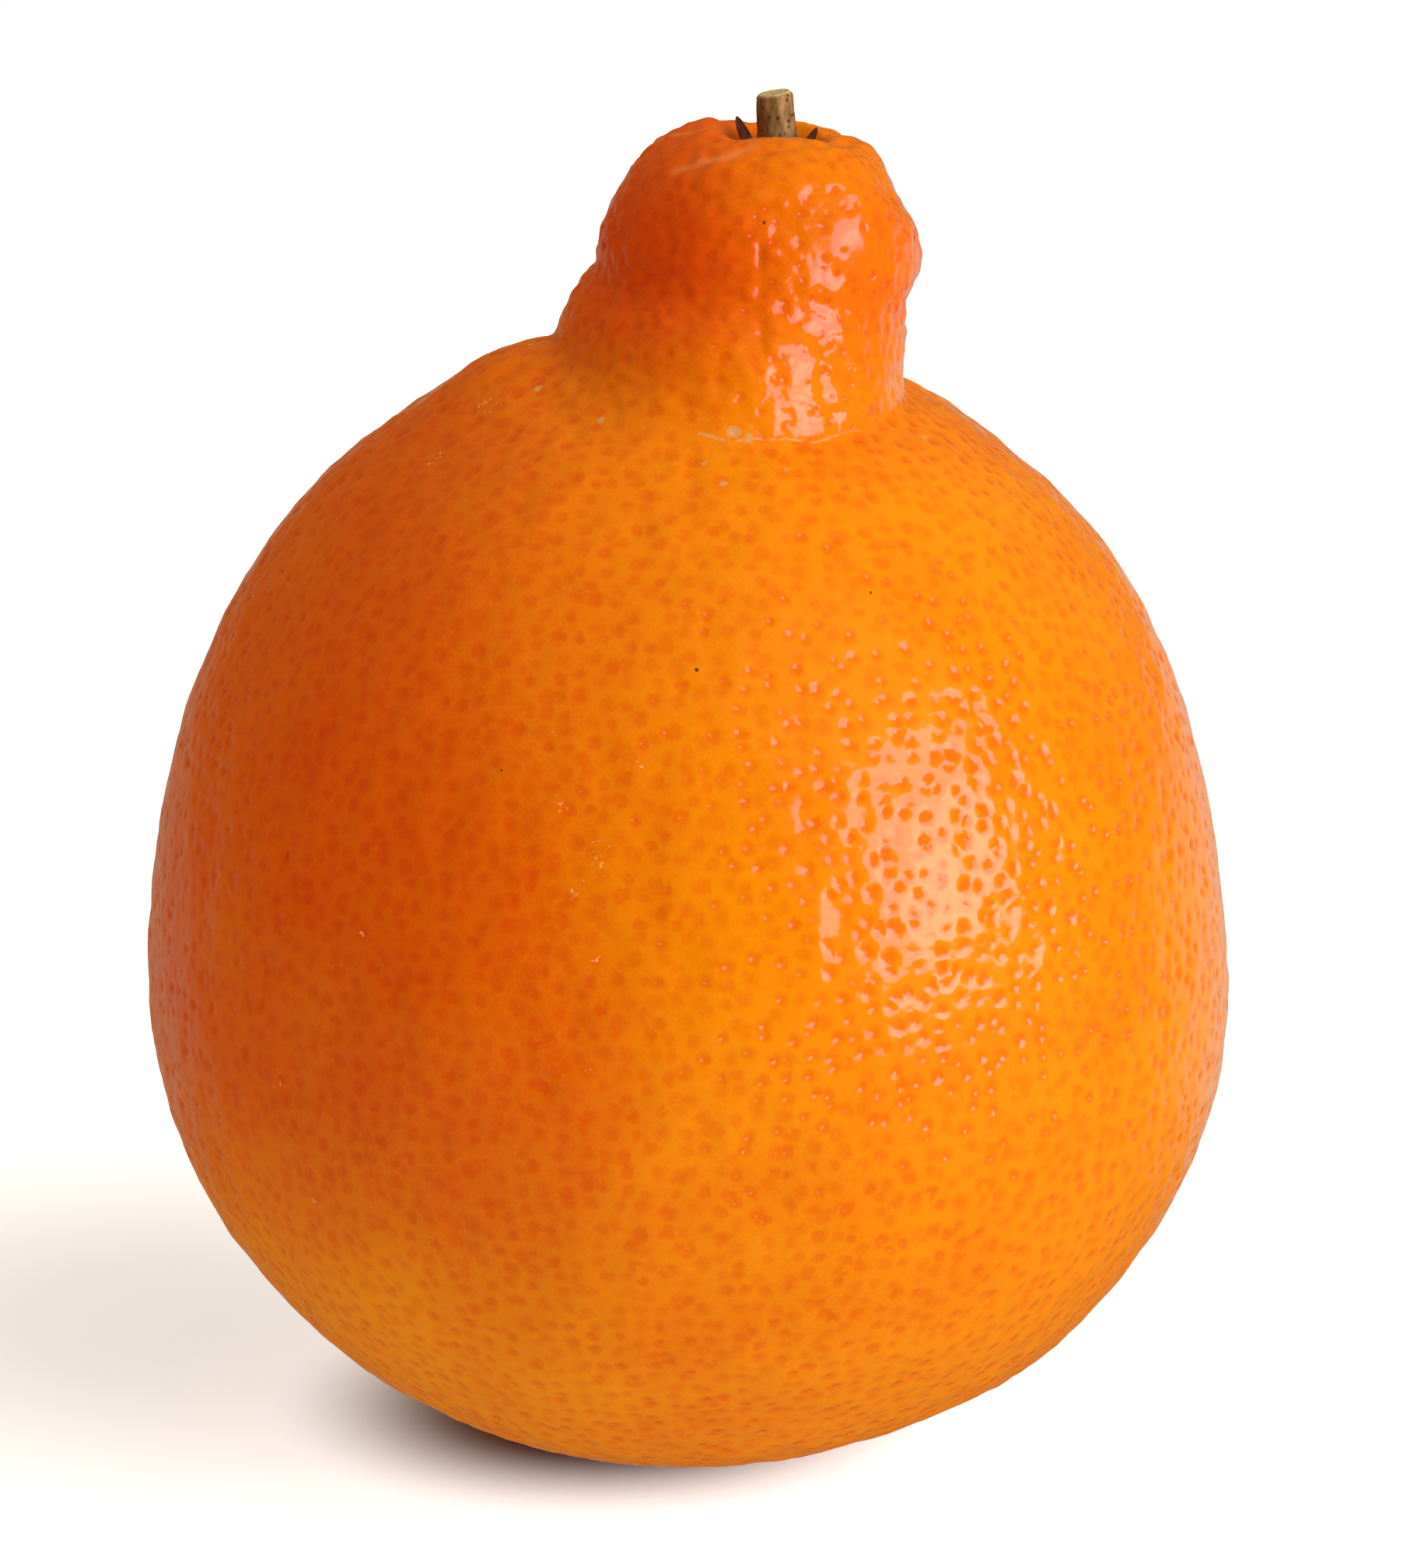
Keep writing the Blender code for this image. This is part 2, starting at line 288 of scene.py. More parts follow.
# %% [markdown]
# ## Even steps along the skin
# `climb` is handy for a formula, but its steps are long on the belly and short on the neck. A mesh wants
# even cells, and pits want even distances, so the climb is measured in millimetres walked along the skin,
# averaged over eight meridians, and turned round: a distance gives its climb. The neck grows out of the body
# in a sharp fold at the right and in a soft sweep at the left, so each point near the fold is an average of
# its neighbours up and down the skin, from a wider stretch where the fold is soft.

# %% Distance along the skin
WALK_STEPS = 4001
WALK_TURNS = np.linspace(0.0, 2.0 * math.pi, 8, endpoint=False)
FOLD_SHARP = 0.4 * MM
FOLD_SOFT = 3.4 * MM
SOFTEST_TURN = math.radians(-122.0)
SOFT_SPREAD = math.radians(34.0)
FOLD_REACH = 6.0 * MM

walk_climb = np.linspace(0.0, 5.0, WALK_STEPS)
walk = form(WALK_TURNS[None, :], walk_climb[:, None])
walk_step = np.linalg.norm(np.diff(walk, axis=0), axis=-1).mean(axis=1)
walk_length = np.concatenate([[0.0], walk_step.cumsum()])
walk_radius = np.linalg.norm(walk[..., :2] - walk[..., :2].mean(axis=1, keepdims=True), axis=-1).mean(axis=1)
SKIN_LENGTH = float(walk_length[-1])
FOLD = float(np.interp(3.0, walk_climb, walk_length))


def skin_point(turn, length):
    """Uneven form at a turn and a distance along the skin, averaged across the fold by weights 1 2 3 2 1."""
    off = (turn - SOFTEST_TURN + math.pi) % (2.0 * math.pi) - math.pi
    soft = FOLD_SHARP + FOLD_SOFT * np.exp(-(off / SOFT_SPREAD) ** 2)
    soft = soft * np.exp(-((length - FOLD) / FOLD_REACH) ** 2)
    total = 0.0
    for step, weight in ((-1.0, 1.0), (-0.5, 2.0), (0.0, 3.0), (0.5, 2.0), (1.0, 1.0)):
        total = total + weight / 9.0 * form(turn, np.interp(length + step * soft, walk_length, walk_climb))
    return uneven(total)


print("flat spot to dimple", round(1000.0 * SKIN_LENGTH, 1), "mm, fold at", round(1000.0 * FOLD, 1), "mm")

# %% [markdown]
# ## Pits
# Citrus peel is dotted with oil glands, each under a small pit, about 1.6 mm apart. A noise texture would
# give pits of any size at any depth, so their centres are laid out here instead: rows around the fruit, each
# with as many pits as its girth holds, every row shifted by chance and each pit jittered. Rows make it quick
# to find the pits nearest to any spot: only four rows and three pits in each can hold them. Some glands are
# full and sit under a deep pit, and most are slight.

# %% Centres of the pits
PIT_SEED = 11
PIT_SPACING = 1.55 * MM
PIT_ROW = 1.35 * MM
PIT_JITTER = 0.38
BODY_PIT = (0.42 * MM, 0.6 * MM)
NECK_PIT = (0.3 * MM, 0.45 * MM)
DEEP_SHARE = 0.3
DEEP_PIT = 0.7
DEEP_SPREAD = 0.3
SLIGHT_PIT = 0.25
SLIGHT_SPREAD = 0.4
NECK_PIT_DEPTH = 0.8
BARE_TOP = 6.0 * MM

pit_draw = np.random.default_rng(PIT_SEED)
pit_rows = int(SKIN_LENGTH / PIT_ROW)
row_length = PIT_ROW * (np.arange(pit_rows) + 0.5)
row_girth = 2.0 * math.pi * np.interp(row_length, walk_length, walk_radius)
row_count = np.maximum(3, np.round(row_girth / PIT_SPACING).astype(int))
row_shift = pit_draw.uniform(0.0, 1.0, pit_rows)
row_first = np.concatenate([[0], row_count.cumsum()[:-1]])
pit_row = np.repeat(np.arange(pit_rows), row_count)
pit_number = np.arange(row_count.sum()) - row_first[pit_row]
jitter = pit_draw.uniform(-PIT_JITTER, PIT_JITTER, (2, len(pit_row)))
pit_turn = 2.0 * math.pi * (pit_number + row_shift[pit_row] + jitter[0]) / row_count[pit_row]
pit_length = row_length[pit_row] + PIT_ROW * jitter[1]
pit_place = skin_point(pit_turn, pit_length)
chance = pit_draw.uniform(size=(3, len(pit_row)))
on_neck = pit_length > FOLD
smallest = np.where(on_neck, NECK_PIT[0], BODY_PIT[0])
largest = np.where(on_neck, NECK_PIT[1], BODY_PIT[1])
pit_radius = smallest + (largest - smallest) * chance[0]
deep_pit = DEEP_PIT + DEEP_SPREAD * chance[2]
slight_pit = SLIGHT_PIT + SLIGHT_SPREAD * chance[2]
pit_depth = np.where(chance[1] < DEEP_SHARE, deep_pit, slight_pit) * np.where(on_neck, NECK_PIT_DEPTH, 1.0)
pit_kept = pit_length < SKIN_LENGTH - BARE_TOP
print(pit_kept.sum(), "pits")


def nearest_pits(turn, length, points, count):
    """Nearest pits of each point, nearest first, and how far off they are. A dropped pit is far from all."""
    row = np.floor(length / PIT_ROW - 0.5).astype(int)
    tries = []
    for beside in (-1, 0, 1, 2):
        k = np.clip(row + beside, 0, pit_rows - 1)
        middle = np.round(turn / (2.0 * math.pi) * row_count[k] - row_shift[k]).astype(int)
        tries += [row_first[k] + (middle + step) % row_count[k] for step in (-1, 0, 1)]
    tries = np.stack(tries)
    away = np.linalg.norm(pit_place[tries] - points, axis=-1)
    away = np.where(pit_kept[tries], away, 1.0)
    order = np.argsort(away, axis=0)
    chosen = np.take_along_axis(tries, order, axis=0)
    away = np.take_along_axis(away, order, axis=0)
    again = chosen[1] == chosen[0]
    chosen[1] = np.where(again, chosen[2], chosen[1])
    return chosen[:count], away[:count]


# %% [markdown]
# ## The skin as a mesh
# A grid of rings and meridians is worked out as whole arrays, with rings closer together on the neck, where
# the form is busier. The grid point nearest to each pit below the neck's fold is moved onto the pit's centre
# before its height is worked out, so that each of these pits has its own lowest point and none falls between
# two points.

# %% A closed skin from a stack of rings
def closed_skin(name, rings):
    """Quads join ring to ring, and fans of triangles join the first and last ring to their middles."""
    rows, columns = rings.shape[:2]
    points = np.concatenate([rings.reshape(-1, 3), rings[:1].mean(axis=1), rings[-1:].mean(axis=1)])
    here = np.arange(columns)
    after = (here + 1) % columns
    start = columns * np.arange(rows - 1)[:, None]
    quads = np.stack([start + here, start + after, start + columns + after, start + columns + here], axis=-1)
    low_middle = np.full(columns, rows * columns)
    last = columns * (rows - 1)
    low_fan = np.stack([after, here, low_middle], axis=-1)
    high_fan = np.stack([last + here, last + after, low_middle + 1], axis=-1)
    corners = np.concatenate([quads.ravel(), low_fan.ravel(), high_fan.ravel()])
    sizes = np.concatenate([np.full(quads.shape[0] * columns, 4), np.full(2 * columns, 3)])
    mesh = bpy.data.meshes.new(name)
    mesh.vertices.add(len(points))
    mesh.vertices.foreach_set("co", points.ravel())
    mesh.loops.add(len(corners))
    mesh.loops.foreach_set("vertex_index", corners)
    mesh.polygons.add(len(sizes))
    mesh.polygons.foreach_set("loop_start", np.concatenate([[0], sizes.cumsum()[:-1]]))
    mesh.update(calc_edges=True)
    mesh.shade_smooth()
    piece = bpy.data.objects.new(name, mesh)
    bpy.context.scene.collection.objects.link(piece)
    return piece, points, corners, sizes


def outward_normals(rings):
    """Cross product of the step around and the step up at each grid point, at unit length."""
    around = np.roll(rings, -1, axis=1) - np.roll(rings, 1, axis=1)
    upward = np.gradient(rings, axis=0)
    normal = np.cross(around, upward)
    return normal / np.maximum(np.linalg.norm(normal, axis=-1), 1e-12)[..., None]


# %% [markdown]
# ## Relief
# Between the pits the peel is gently pebbled, apart from one smooth patch on the knob, and below the fold it
# is puckered. The knob has one long thin crease, the fold a short one, and two run from the crown's left
# shoulder into the dimple. Those lines are listed paths, and the skin sinks by a bell curve of its
# distance from them. The relief dies out on the flat spot and in the dimple.

# %% Rings of the skin
SKIN_COLUMNS = 384
SKIN_RIM = 0.4 * MM
BODY_STEP = 0.8 * MM
NECK_STEP = 0.28 * MM
STEPS_SHRINK = 14.0 * MM
STEPS_SMALL = 3.0 * MM
PIT_DENT = 0.06 * MM
PIT_DENT_RADIUS = 0.85 * MM
NECK_DENT_LOSS = 0.5
PEBBLE_WAVES = (23, 48, (2.0 * MM, 5.0 * MM))
PEBBLE_HEIGHT = 0.06 * MM
NECK_BUMP_WAVES = (29, 40, (1.0 * MM, 1.9 * MM))
NECK_BUMP_HEIGHT = 0.06 * MM
PUCKER_WAVES = (31, 40, (1.1 * MM, 2.8 * MM))
PUCKER_HEIGHT = 0.07 * MM
PUCKER_MIDDLE = 3.0 * MM
PUCKER_REACH = 3.0 * MM
PUCKER_RADIUS = 12.0 * MM
PUCKER_STRETCH = 0.3
SMOOTH_PATCH = (11.0, -9.5, 88.5)
PATCH_REACH = 3.4 * MM
PATCH_SMOOTHING = 0.92
NECK_STARTS = (5.0 * MM, 3.0 * MM)
CALM_BELOW = (0.1 * MM, 3.0 * MM)
CALM_DIMPLE = 0.8
DIMPLE_STARTS = (7.0 * MM, 4.0 * MM)

# Width and depth in millimetres of each crease, then the points that it runs through
CREASES = (
    (0.35, 0.22, ((5.0, -11.0, 88.0), (5.1, -12.0, 85.2), (5.2, -13.6, 81.4))),
    (0.4, 0.16, ((8.9, -12.7, 79.2), (10.2, -11.9, 79.1), (12.0, -10.2, 77.8))),
    (0.6, 0.18, ((-3.2, 1.7, 92.1), (-1.8, 1.2, 93.2), (0.5, -0.2, 94.0), (2.6, -1.9, 94.2),
                 (4.0, -3.6, 94.0))),
    (0.45, 0.1, ((-0.6, -5.9, 92.2), (1.2, -6.5, 92.9), (2.8, -6.8, 93.3), (4.5, -5.9, 93.9))),
)
CROWN_CREASES = CREASES[2:]


def distance_to_path(points, path):
    """Distance from each point to the nearest straight stretch of a path."""
    nearest = np.full(points.shape[:-1], 1.0)
    for start, stop in zip(path, path[1:]):
        start = MM * np.array(start)
        along = MM * np.array(stop) - start
        share = np.clip((points - start) @ along / (along @ along), 0.0, 1.0)
        nearest = np.minimum(nearest, np.linalg.norm(points - start - share[..., None] * along, axis=-1))
    return nearest


fine_length = np.linspace(SKIN_RIM, SKIN_LENGTH - SKIN_RIM, 4000)
fine_step = ease(fine_length, FOLD - STEPS_SHRINK, FOLD - STEPS_SMALL)
fine_step = BODY_STEP + (NECK_STEP - BODY_STEP) * fine_step
fine_count = np.concatenate([[0.0], (np.diff(fine_length) / fine_step[1:]).cumsum()])
ring_place = np.interp(np.arange(int(fine_count[-1]) + 1), fine_count, fine_length)
SKIN_ROWS = len(ring_place)
skin_turn = np.tile(2.0 * math.pi * np.arange(SKIN_COLUMNS) / SKIN_COLUMNS, (SKIN_ROWS, 1))
skin_length = np.repeat(ring_place[:, None], SKIN_COLUMNS, axis=1)

snap_row = np.abs(ring_place[:, None] - pit_length[None, :]).argmin(axis=0)
snap_column = np.round(pit_turn / (2.0 * math.pi) * SKIN_COLUMNS).astype(int)
snapped = pit_kept & (pit_length < FOLD)
skin_turn[snap_row[snapped], snap_column[snapped] % SKIN_COLUMNS] = pit_turn[snapped]
skin_length[snap_row[snapped], snap_column[snapped] % SKIN_COLUMNS] = pit_length[snapped]

smooth_skin = skin_point(skin_turn, skin_length)
normals = outward_normals(smooth_skin)
pits, away = nearest_pits(skin_turn, skin_length, smooth_skin, 1)
dent = pit_depth[pits[0]] * np.clip(1.0 - (away[0] / PIT_DENT_RADIUS) ** 2, 0.0, 1.0) ** 2
neckness = ease(skin_length, FOLD - NECK_STARTS[0], FOLD + NECK_STARTS[1])
near_dimple = ease(skin_length, SKIN_LENGTH - DIMPLE_STARTS[0], SKIN_LENGTH - DIMPLE_STARTS[1])
calm = ease(smooth_skin[..., 2], *CALM_BELOW) * (1.0 - CALM_DIMPLE * near_dimple)
relief = PEBBLE_HEIGHT * waves(smooth_skin, *PEBBLE_WAVES)
relief += NECK_BUMP_HEIGHT * neckness * waves(smooth_skin, *NECK_BUMP_WAVES)
from_patch = np.linalg.norm(smooth_skin - MM * np.array(SMOOTH_PATCH), axis=-1)
relief *= 1.0 - PATCH_SMOOTHING * np.exp(-(from_patch / PATCH_REACH) ** 4)
pucker = np.exp(-((skin_length - FOLD + PUCKER_MIDDLE) / PUCKER_REACH) ** 2)
foot_x = PUCKER_RADIUS * np.cos(skin_turn)
foot_y = PUCKER_RADIUS * np.sin(skin_turn)
round_foot = np.stack([foot_x, foot_y, PUCKER_STRETCH * skin_length], axis=-1)
relief += PUCKER_HEIGHT * pucker * waves(round_foot, *PUCKER_WAVES)
relief -= PIT_DENT * dent * (1.0 - NECK_DENT_LOSS * neckness)
relief *= calm
for width, depth, path in CREASES:
    relief -= MM * depth * np.exp(-(distance_to_path(smooth_skin, path) / (MM * width)) ** 2)
skin = smooth_skin + normals * relief[..., None]

fruit, skin_points, skin_corners, skin_sizes = closed_skin("peel", skin)
print("skin of", len(fruit.data.polygons), "faces,", SKIN_ROWS, "rings")

# %% [markdown]
# ## What the peel's finish needs to know
# The mesh is fine enough for the dents but not for the round spot and the pore over each gland. So every face
# stores the way to its two nearest pits, measured in pit radii, at each of its corners. Between corners the
# renderer blends these arrows in a straight line, which is exact on a flat face, and the arrow's length is
# then the true distance to the pit at every pixel. Blemishes are stored in the same way. A map is laid out
# too: once around by the distance along the skin.

# %% Blemishes
# x and z seen from the front and radius in millimetres, then kind: 0 scab, 1 black dot, 2 bruise, 3 scuff,
# partly a painted glint
BLEMISHES = (
    (3.1, 76.1, 0.5, 0), (4.3, 75.9, 0.34, 0), (-5.7, 76.6, 0.34, 0), (-10.1, 77.5, 0.3, 0),
    (16.3, 74.3, 0.3, 0), (1.1, 74.5, 0.22, 0), (2.4, 73.4, 0.32, 0), (6.7, 73.9, 0.2, 0),
    (1.0, 63.3, 0.16, 1), (-12.0, 57.0, 0.12, 1), (5.3, 89.5, 0.15, 1), (12.2, 66.8, 0.1, 1),
    (-24.9, 25.8, 0.26, 0), (35.6, 22.7, 0.75, 2), (36.4, 21.4, 0.5, 2), (-7.8, 55.0, 0.9, 3),
    (-5.9, 51.9, 1.5, 3), (-6.9, 49.4, 1.0, 3), (-9.2, 59.4, 0.7, 3), (-3.0, 57.5, 0.9, 3),
    (-6.0, 45.0, 0.7, 3), (-13.5, 76.5, 1.6, 3), (-10.5, 79.5, 1.4, 3), (-17.0, 73.0, 1.3, 3),
    (14.5, 77.5, 1.3, 3), (-6.0, 38.0, 0.6, 3), (-27.5, 34.0, 1.2, 3), (-21.0, 45.5, 1.0, 3),
    (-24.5, 39.0, 0.8, 3), (18.0, 72.5, 1.2, 3),
)
LAST_KIND = 3.0
SCATTER_SEED = 5
SCATTERED = 46
SCATTER_TURNS = (0.05 * math.pi, 0.95 * math.pi)
SCATTER_LENGTHS = (0.1, 0.75)
SCATTER_RADII = (0.12, 0.4)
SCATTER_KINDS = (0.0, 3.0, 3.0, 1.0)

front = np.where(smooth_skin[..., 1] < 0.0, 0.0, 1.0)
mark_place, mark_radius, mark_kind = [], [], []
for x, z, radius, kind in BLEMISHES:
    miss = np.hypot(smooth_skin[..., 0] - MM * x, smooth_skin[..., 2] - MM * z) + front
    mark_place.append(skin.reshape(-1, 3)[miss.argmin()])
    mark_radius.append(MM * radius)
    mark_kind.append(kind)
scatter = np.random.default_rng(SCATTER_SEED)
scattered_turn = scatter.uniform(*SCATTER_TURNS, SCATTERED)
scattered_length = scatter.uniform(*SCATTER_LENGTHS, SCATTERED) * SKIN_LENGTH
mark_place = np.array(mark_place + list(skin_point(scattered_turn, scattered_length)))
mark_radius = np.array(mark_radius + list(MM * scatter.uniform(*SCATTER_RADII, SCATTERED)))
mark_kind = np.array(mark_kind + list(scatter.choice(SCATTER_KINDS, SCATTERED)))

# %% Arrows to the pits and blemishes, and a map
# Arrow given to a dropped pit, in radii, so that it leaves no spot
TOO_FAR = 9.0

face_start = np.concatenate([[0], skin_sizes.cumsum()[:-1]])
face_of_corner = np.repeat(np.arange(len(skin_sizes)), skin_sizes)
corner_place = skin_points[skin_corners]
face_middle = np.add.reduceat(corner_place, face_start, axis=0) / skin_sizes[:, None]

ring_of_face, column_of_face = np.divmod(np.arange((SKIN_ROWS - 1) * SKIN_COLUMNS), SKIN_COLUMNS)
fan_turn = 2.0 * math.pi * (np.arange(SKIN_COLUMNS) + 0.5) / SKIN_COLUMNS
middle_turn = np.concatenate([2.0 * math.pi * (column_of_face + 0.5) / SKIN_COLUMNS, fan_turn, fan_turn])
middle_length = 0.5 * (ring_place[ring_of_face] + ring_place[ring_of_face + 1])
middle_length = np.concatenate([middle_length, np.zeros(SKIN_COLUMNS), np.full(SKIN_COLUMNS, SKIN_LENGTH)])
near, _ = nearest_pits(middle_turn, middle_length, face_middle, 2)
mark_away = np.linalg.norm(face_middle[:, None, :] - mark_place[None, :, :], axis=-1)
near_mark = (mark_away / mark_radius).argmin(axis=1)


def store(label, kind, domain, values):
    """Adds an attribute to the skin and fills it from an array."""
    layer = fruit.data.attributes.new(label, kind, domain)
    layer.data.foreach_set("vector" if kind == "FLOAT_VECTOR" else "value", values.astype(np.float32).ravel())


for rank, label in enumerate(("pit_first", "pit_second")):
    pit = near[rank][face_of_corner]
    arrow = (corner_place - pit_place[pit]) / pit_radius[pit][:, None]
    arrow[~pit_kept[pit]] = TOO_FAR
    store(label, "FLOAT_VECTOR", "CORNER", arrow)
two_depths = pit_depth[near]
store("pit_depths", "FLOAT_VECTOR", "FACE", np.stack([two_depths[0], two_depths[1], two_depths[1]], axis=-1))
mark = near_mark[face_of_corner]
store("blemish", "FLOAT_VECTOR", "CORNER", (corner_place - mark_place[mark]) / mark_radius[mark][:, None])
store("blemish_kind", "FLOAT", "FACE", mark_kind[near_mark] / LAST_KIND)

quad_u = (column_of_face[:, None] + np.array([0.0, 1.0, 1.0, 0.0])) / SKIN_COLUMNS
quad_v = ring_place[ring_of_face[:, None] + np.array([0, 0, 1, 1])] / SKIN_LENGTH
column_u = np.arange(SKIN_COLUMNS)[:, None]
low_u = (column_u + np.array([1.0, 0.0, 0.5])) / SKIN_COLUMNS
high_u = (column_u + np.array([0.0, 1.0, 0.5])) / SKIN_COLUMNS
low_v = np.tile([ring_place[0] / SKIN_LENGTH, ring_place[0] / SKIN_LENGTH, 0.0], (SKIN_COLUMNS, 1))
high_v = np.tile([ring_place[-1] / SKIN_LENGTH, ring_place[-1] / SKIN_LENGTH, 1.0], (SKIN_COLUMNS, 1))
map_u = np.concatenate([quad_u.ravel(), low_u.ravel(), high_u.ravel()])
map_v = np.concatenate([quad_v.ravel(), low_v.ravel(), high_v.ravel()])
layout = fruit.data.uv_layers.new(name="OFBake")
layout.uv.foreach_set("vector", np.stack([map_u, map_v], axis=-1).astype(np.float32).ravel())

# %% [markdown]
# ## Where the fruit is redder
# This fruit is made yellower under its belly and at its right, a red orange on the neck, and deeper orange on
# the shaded left of the body and of the neck, which is painted shade. Such slow changes are worked out at
# each point of the mesh from its place, with some slow noise. A thin pale line, a painted glint, is stored
# along the crown's creases.

# %% Redness
SPECKLE_TINT = 0.18
DRIFT_TINT = 0.16
GRAIN_TINT = 0.3
CREASE_GLINT_WIDTH = 0.8
CREASE_GLINT_SHARE = 0.38
BEND_WAVES = (41, 12, (25.0 * MM, 70.0 * MM))
PATCH_WAVES = (43, 24, (5.0 * MM, 14.0 * MM))
BEND_SHIFT = 2.6 * MM
PATCH_SHIFT = 1.6 * MM
SHARP_SHARE = 0.6

# How red the peel is in each region, from 0 for yellow orange to 1 for red orange
PLAIN_RED = 0.1
PAINTED_SHADE_RED = 0.44
FOOT_RED = 0.06
NECK_RED = 0.2
NECK_PAINTED_SHADE_RED = 0.38
CROWN_LOSS = 0.15
RIGHT_LOSS = 0.06
BELLY_LOSS = 0.08
BEND_RED = 0.05
PATCH_RED = 0.04

bend = waves(skin_points, *BEND_WAVES)
patches = waves(skin_points, *PATCH_WAVES)
point_x, _, point_z = skin_points.T
point_length = np.concatenate([skin_length.ravel(), [0.0, SKIN_LENGTH]])
on_foot = ease(point_length, FOLD - 5.0 * MM, FOLD + 5.0 * MM)
up_neck = ease(point_length, FOLD - 2.0 * MM, FOLD + 14.0 * MM)
# Redder on the neck's shaded left: painted shade.
neck_painted_shade = ease(point_length, FOLD - 2.0 * MM, FOLD + 10.0 * MM) * ease(-point_x, -9.0 * MM, 2.0 * MM)
on_crown = ease(point_z, 88.5 * MM, 92.5 * MM)
wander = point_x + BEND_SHIFT * bend + PATCH_SHIFT * patches
low_down = SHARP_SHARE * (1.0 - ease(point_z, 50.0 * MM, 64.0 * MM))
to_left = low_down * ease(-wander, 4.0 * MM, 13.0 * MM)
to_left = to_left + (1.0 - low_down) * ease(-wander, -4.0 * MM, 26.0 * MM)
# Redder on the shaded left of the body: painted shade.
painted_shade = to_left * ease(point_z, 12.0 * MM, 36.0 * MM)
# The peel is made yellower at the right and under the belly.
to_right = ease(point_x, 2.0 * MM, 24.0 * MM) * (1.0 - on_foot)
belly = 1.0 - ease(point_z, 6.0 * MM, 26.0 * MM)
redness = PLAIN_RED + PAINTED_SHADE_RED * painted_shade + FOOT_RED * on_foot + NECK_RED * up_neck
redness = redness + NECK_PAINTED_SHADE_RED * neck_painted_shade - CROWN_LOSS * on_crown - RIGHT_LOSS * to_right
redness = redness - BELLY_LOSS * belly + BEND_RED * bend + PATCH_RED * patches
redness = redness - 0.5 * (SPECKLE_TINT + DRIFT_TINT + GRAIN_TINT)
store("redness", "FLOAT", "POINT", redness)
# A pale line along the crown's creases: a painted glint.
painted_crease_glint = np.zeros(len(skin_points))
for width, _, path in CROWN_CREASES:
    painted_crease_glint += np.exp(-(distance_to_path(skin_points, path) / (CREASE_GLINT_WIDTH * MM * width)) ** 2)
store("painted_crease_glint", "FLOAT", "POINT", CREASE_GLINT_SHARE * painted_crease_glint)

# %% [markdown]
# ## Citrus peel, waxed
# The peel is a thin oily rind under natural and added wax: orange, slightly translucent, with a clear gloss.
# Light that enters the rind comes out blurred, so the pits hardly shade it, but the wax mirrors every one. So
# the relief of the pores goes to the shader's coat, with a refractive index near 1.45 and low roughness, and
# only a little of it to the base. The orange is mottled, and it is deeper and redder in a soft spot over each
# gland. Most finishes are the same few nodes again and again, so each kind of node gets a short function.

# %% Node helpers
def fresh_material(name):
    """New material, its node tree, its shader, and the place of each point on the object."""
    material = bpy.data.materials.new(name)
    material.use_nodes = True
    tree = material.node_tree
    return material, tree, tree.nodes["Principled BSDF"], add(tree, "TexCoord")["Object"]


def stored(tree, label):
    """Outputs of the node that reads what was stored on the mesh under a label."""
    return add(tree, "Attribute", attribute_name=label)


def combine(tree, operation, *values):
    """One step of arithmetic on outputs or numbers, named as Blender names it."""
    return add(tree, "Math", dict(enumerate(values)), operation=operation)[0]


def gap(tree, first, second=(0.0, 0.0, 0.0)):
    """Distance between two places."""
    return add(tree, "VectorMath", {0: first, 1: second}, operation="DISTANCE")["Value"]


def mixed(tree, share, first, second, **settings):
    """First colour where share is 0, second where it is 1."""
    return add(tree, "Mix", {0: share, 6: first, 7: second}, data_type="RGBA", **settings)[2]


def fitted(tree, value, span, out=(0.0, 1.0), soft=False):
    """Value carried from the ends of span to the ends of out and held there, eased if soft."""
    ends = {"Value": value, "From Min": span[0], "From Max": span[1], "To Min": out[0], "To Max": out[1]}
    return add(tree, "MapRange", ends, interpolation_type="SMOOTHSTEP" if soft else "LINEAR")[0]


def noise(tree, place, size, detail=2.0):
    """Clouds from 0 to 1 whose lumps are about size across, with detail octaves of finer ones."""
    return add(tree, "TexNoise", {"Vector": place, "Scale": 1.0 / size, "Detail": detail})[0]


def bumpy(tree, layers):
    """Normal bent by layers of relief, each a height from 0 to 1, its size, and whether it is sunk."""
    bent = {}
    for height, size, sunk in layers:
        bent = {"Normal": add(tree, "Bump", {"Height": height, "Distance": size, **bent}, invert=sunk)[0]}
    return bent["Normal"]


def graded(tree, value, stops, interpolation="LINEAR"):
    """Colour that value picks from a ramp with hex colours at places from 0 to 1."""
    colour = add(tree, "ValToRGB", {0: value})[0]
    ramp = colour.node.color_ramp
    ramp.interpolation = interpolation
    while len(ramp.elements) < len(stops):
        ramp.elements.new(0.5)
    for element, (place, code) in zip(ramp.elements, stops):
        element.position = place
        element.color = paint(code)
    return colour


# %% Peel material
PEEL_RAMP = ((0.0, "#EF8F00"), (0.2, "#E97D00"), (0.45, "#E26400"), (0.7, "#DD4E00"), (1.0, "#D03200"))
GLAND_DARKENS = "#F5BEB2"
# The last colour is the pale scuff, which is partly a painted glint.
BLEMISH_COLOURS = ((0.0, "#D2A062"), (0.2, "#2A1206"), (0.5, "#7A3C12"), (0.8, "#FFC98C"))
CREASE_GLINT_COLOUR = "#F6A05C"

# Distance in pit radii at which each mark starts and is whole, and the power of its fall
SPOT_EDGE = (1.35, 0.55, 1.0)
DIMPLE_EDGE = (1.8, 0.0, 2.0)
PORE_EDGE = (0.7, 0.1, 2.0)
# Factor and shift from a pit's depth to its spot, and the depths at which a pore starts and is whole
SPOT_TONE = (0.45, 0.25)
PORE_PITS = (0.4, 0.7)
RAGGED = 1.8
RAGGED_SIZE = 0.6 * MM
SPECKLE_SIZE = 0.9 * MM
DRIFT_SIZE = 6.0 * MM

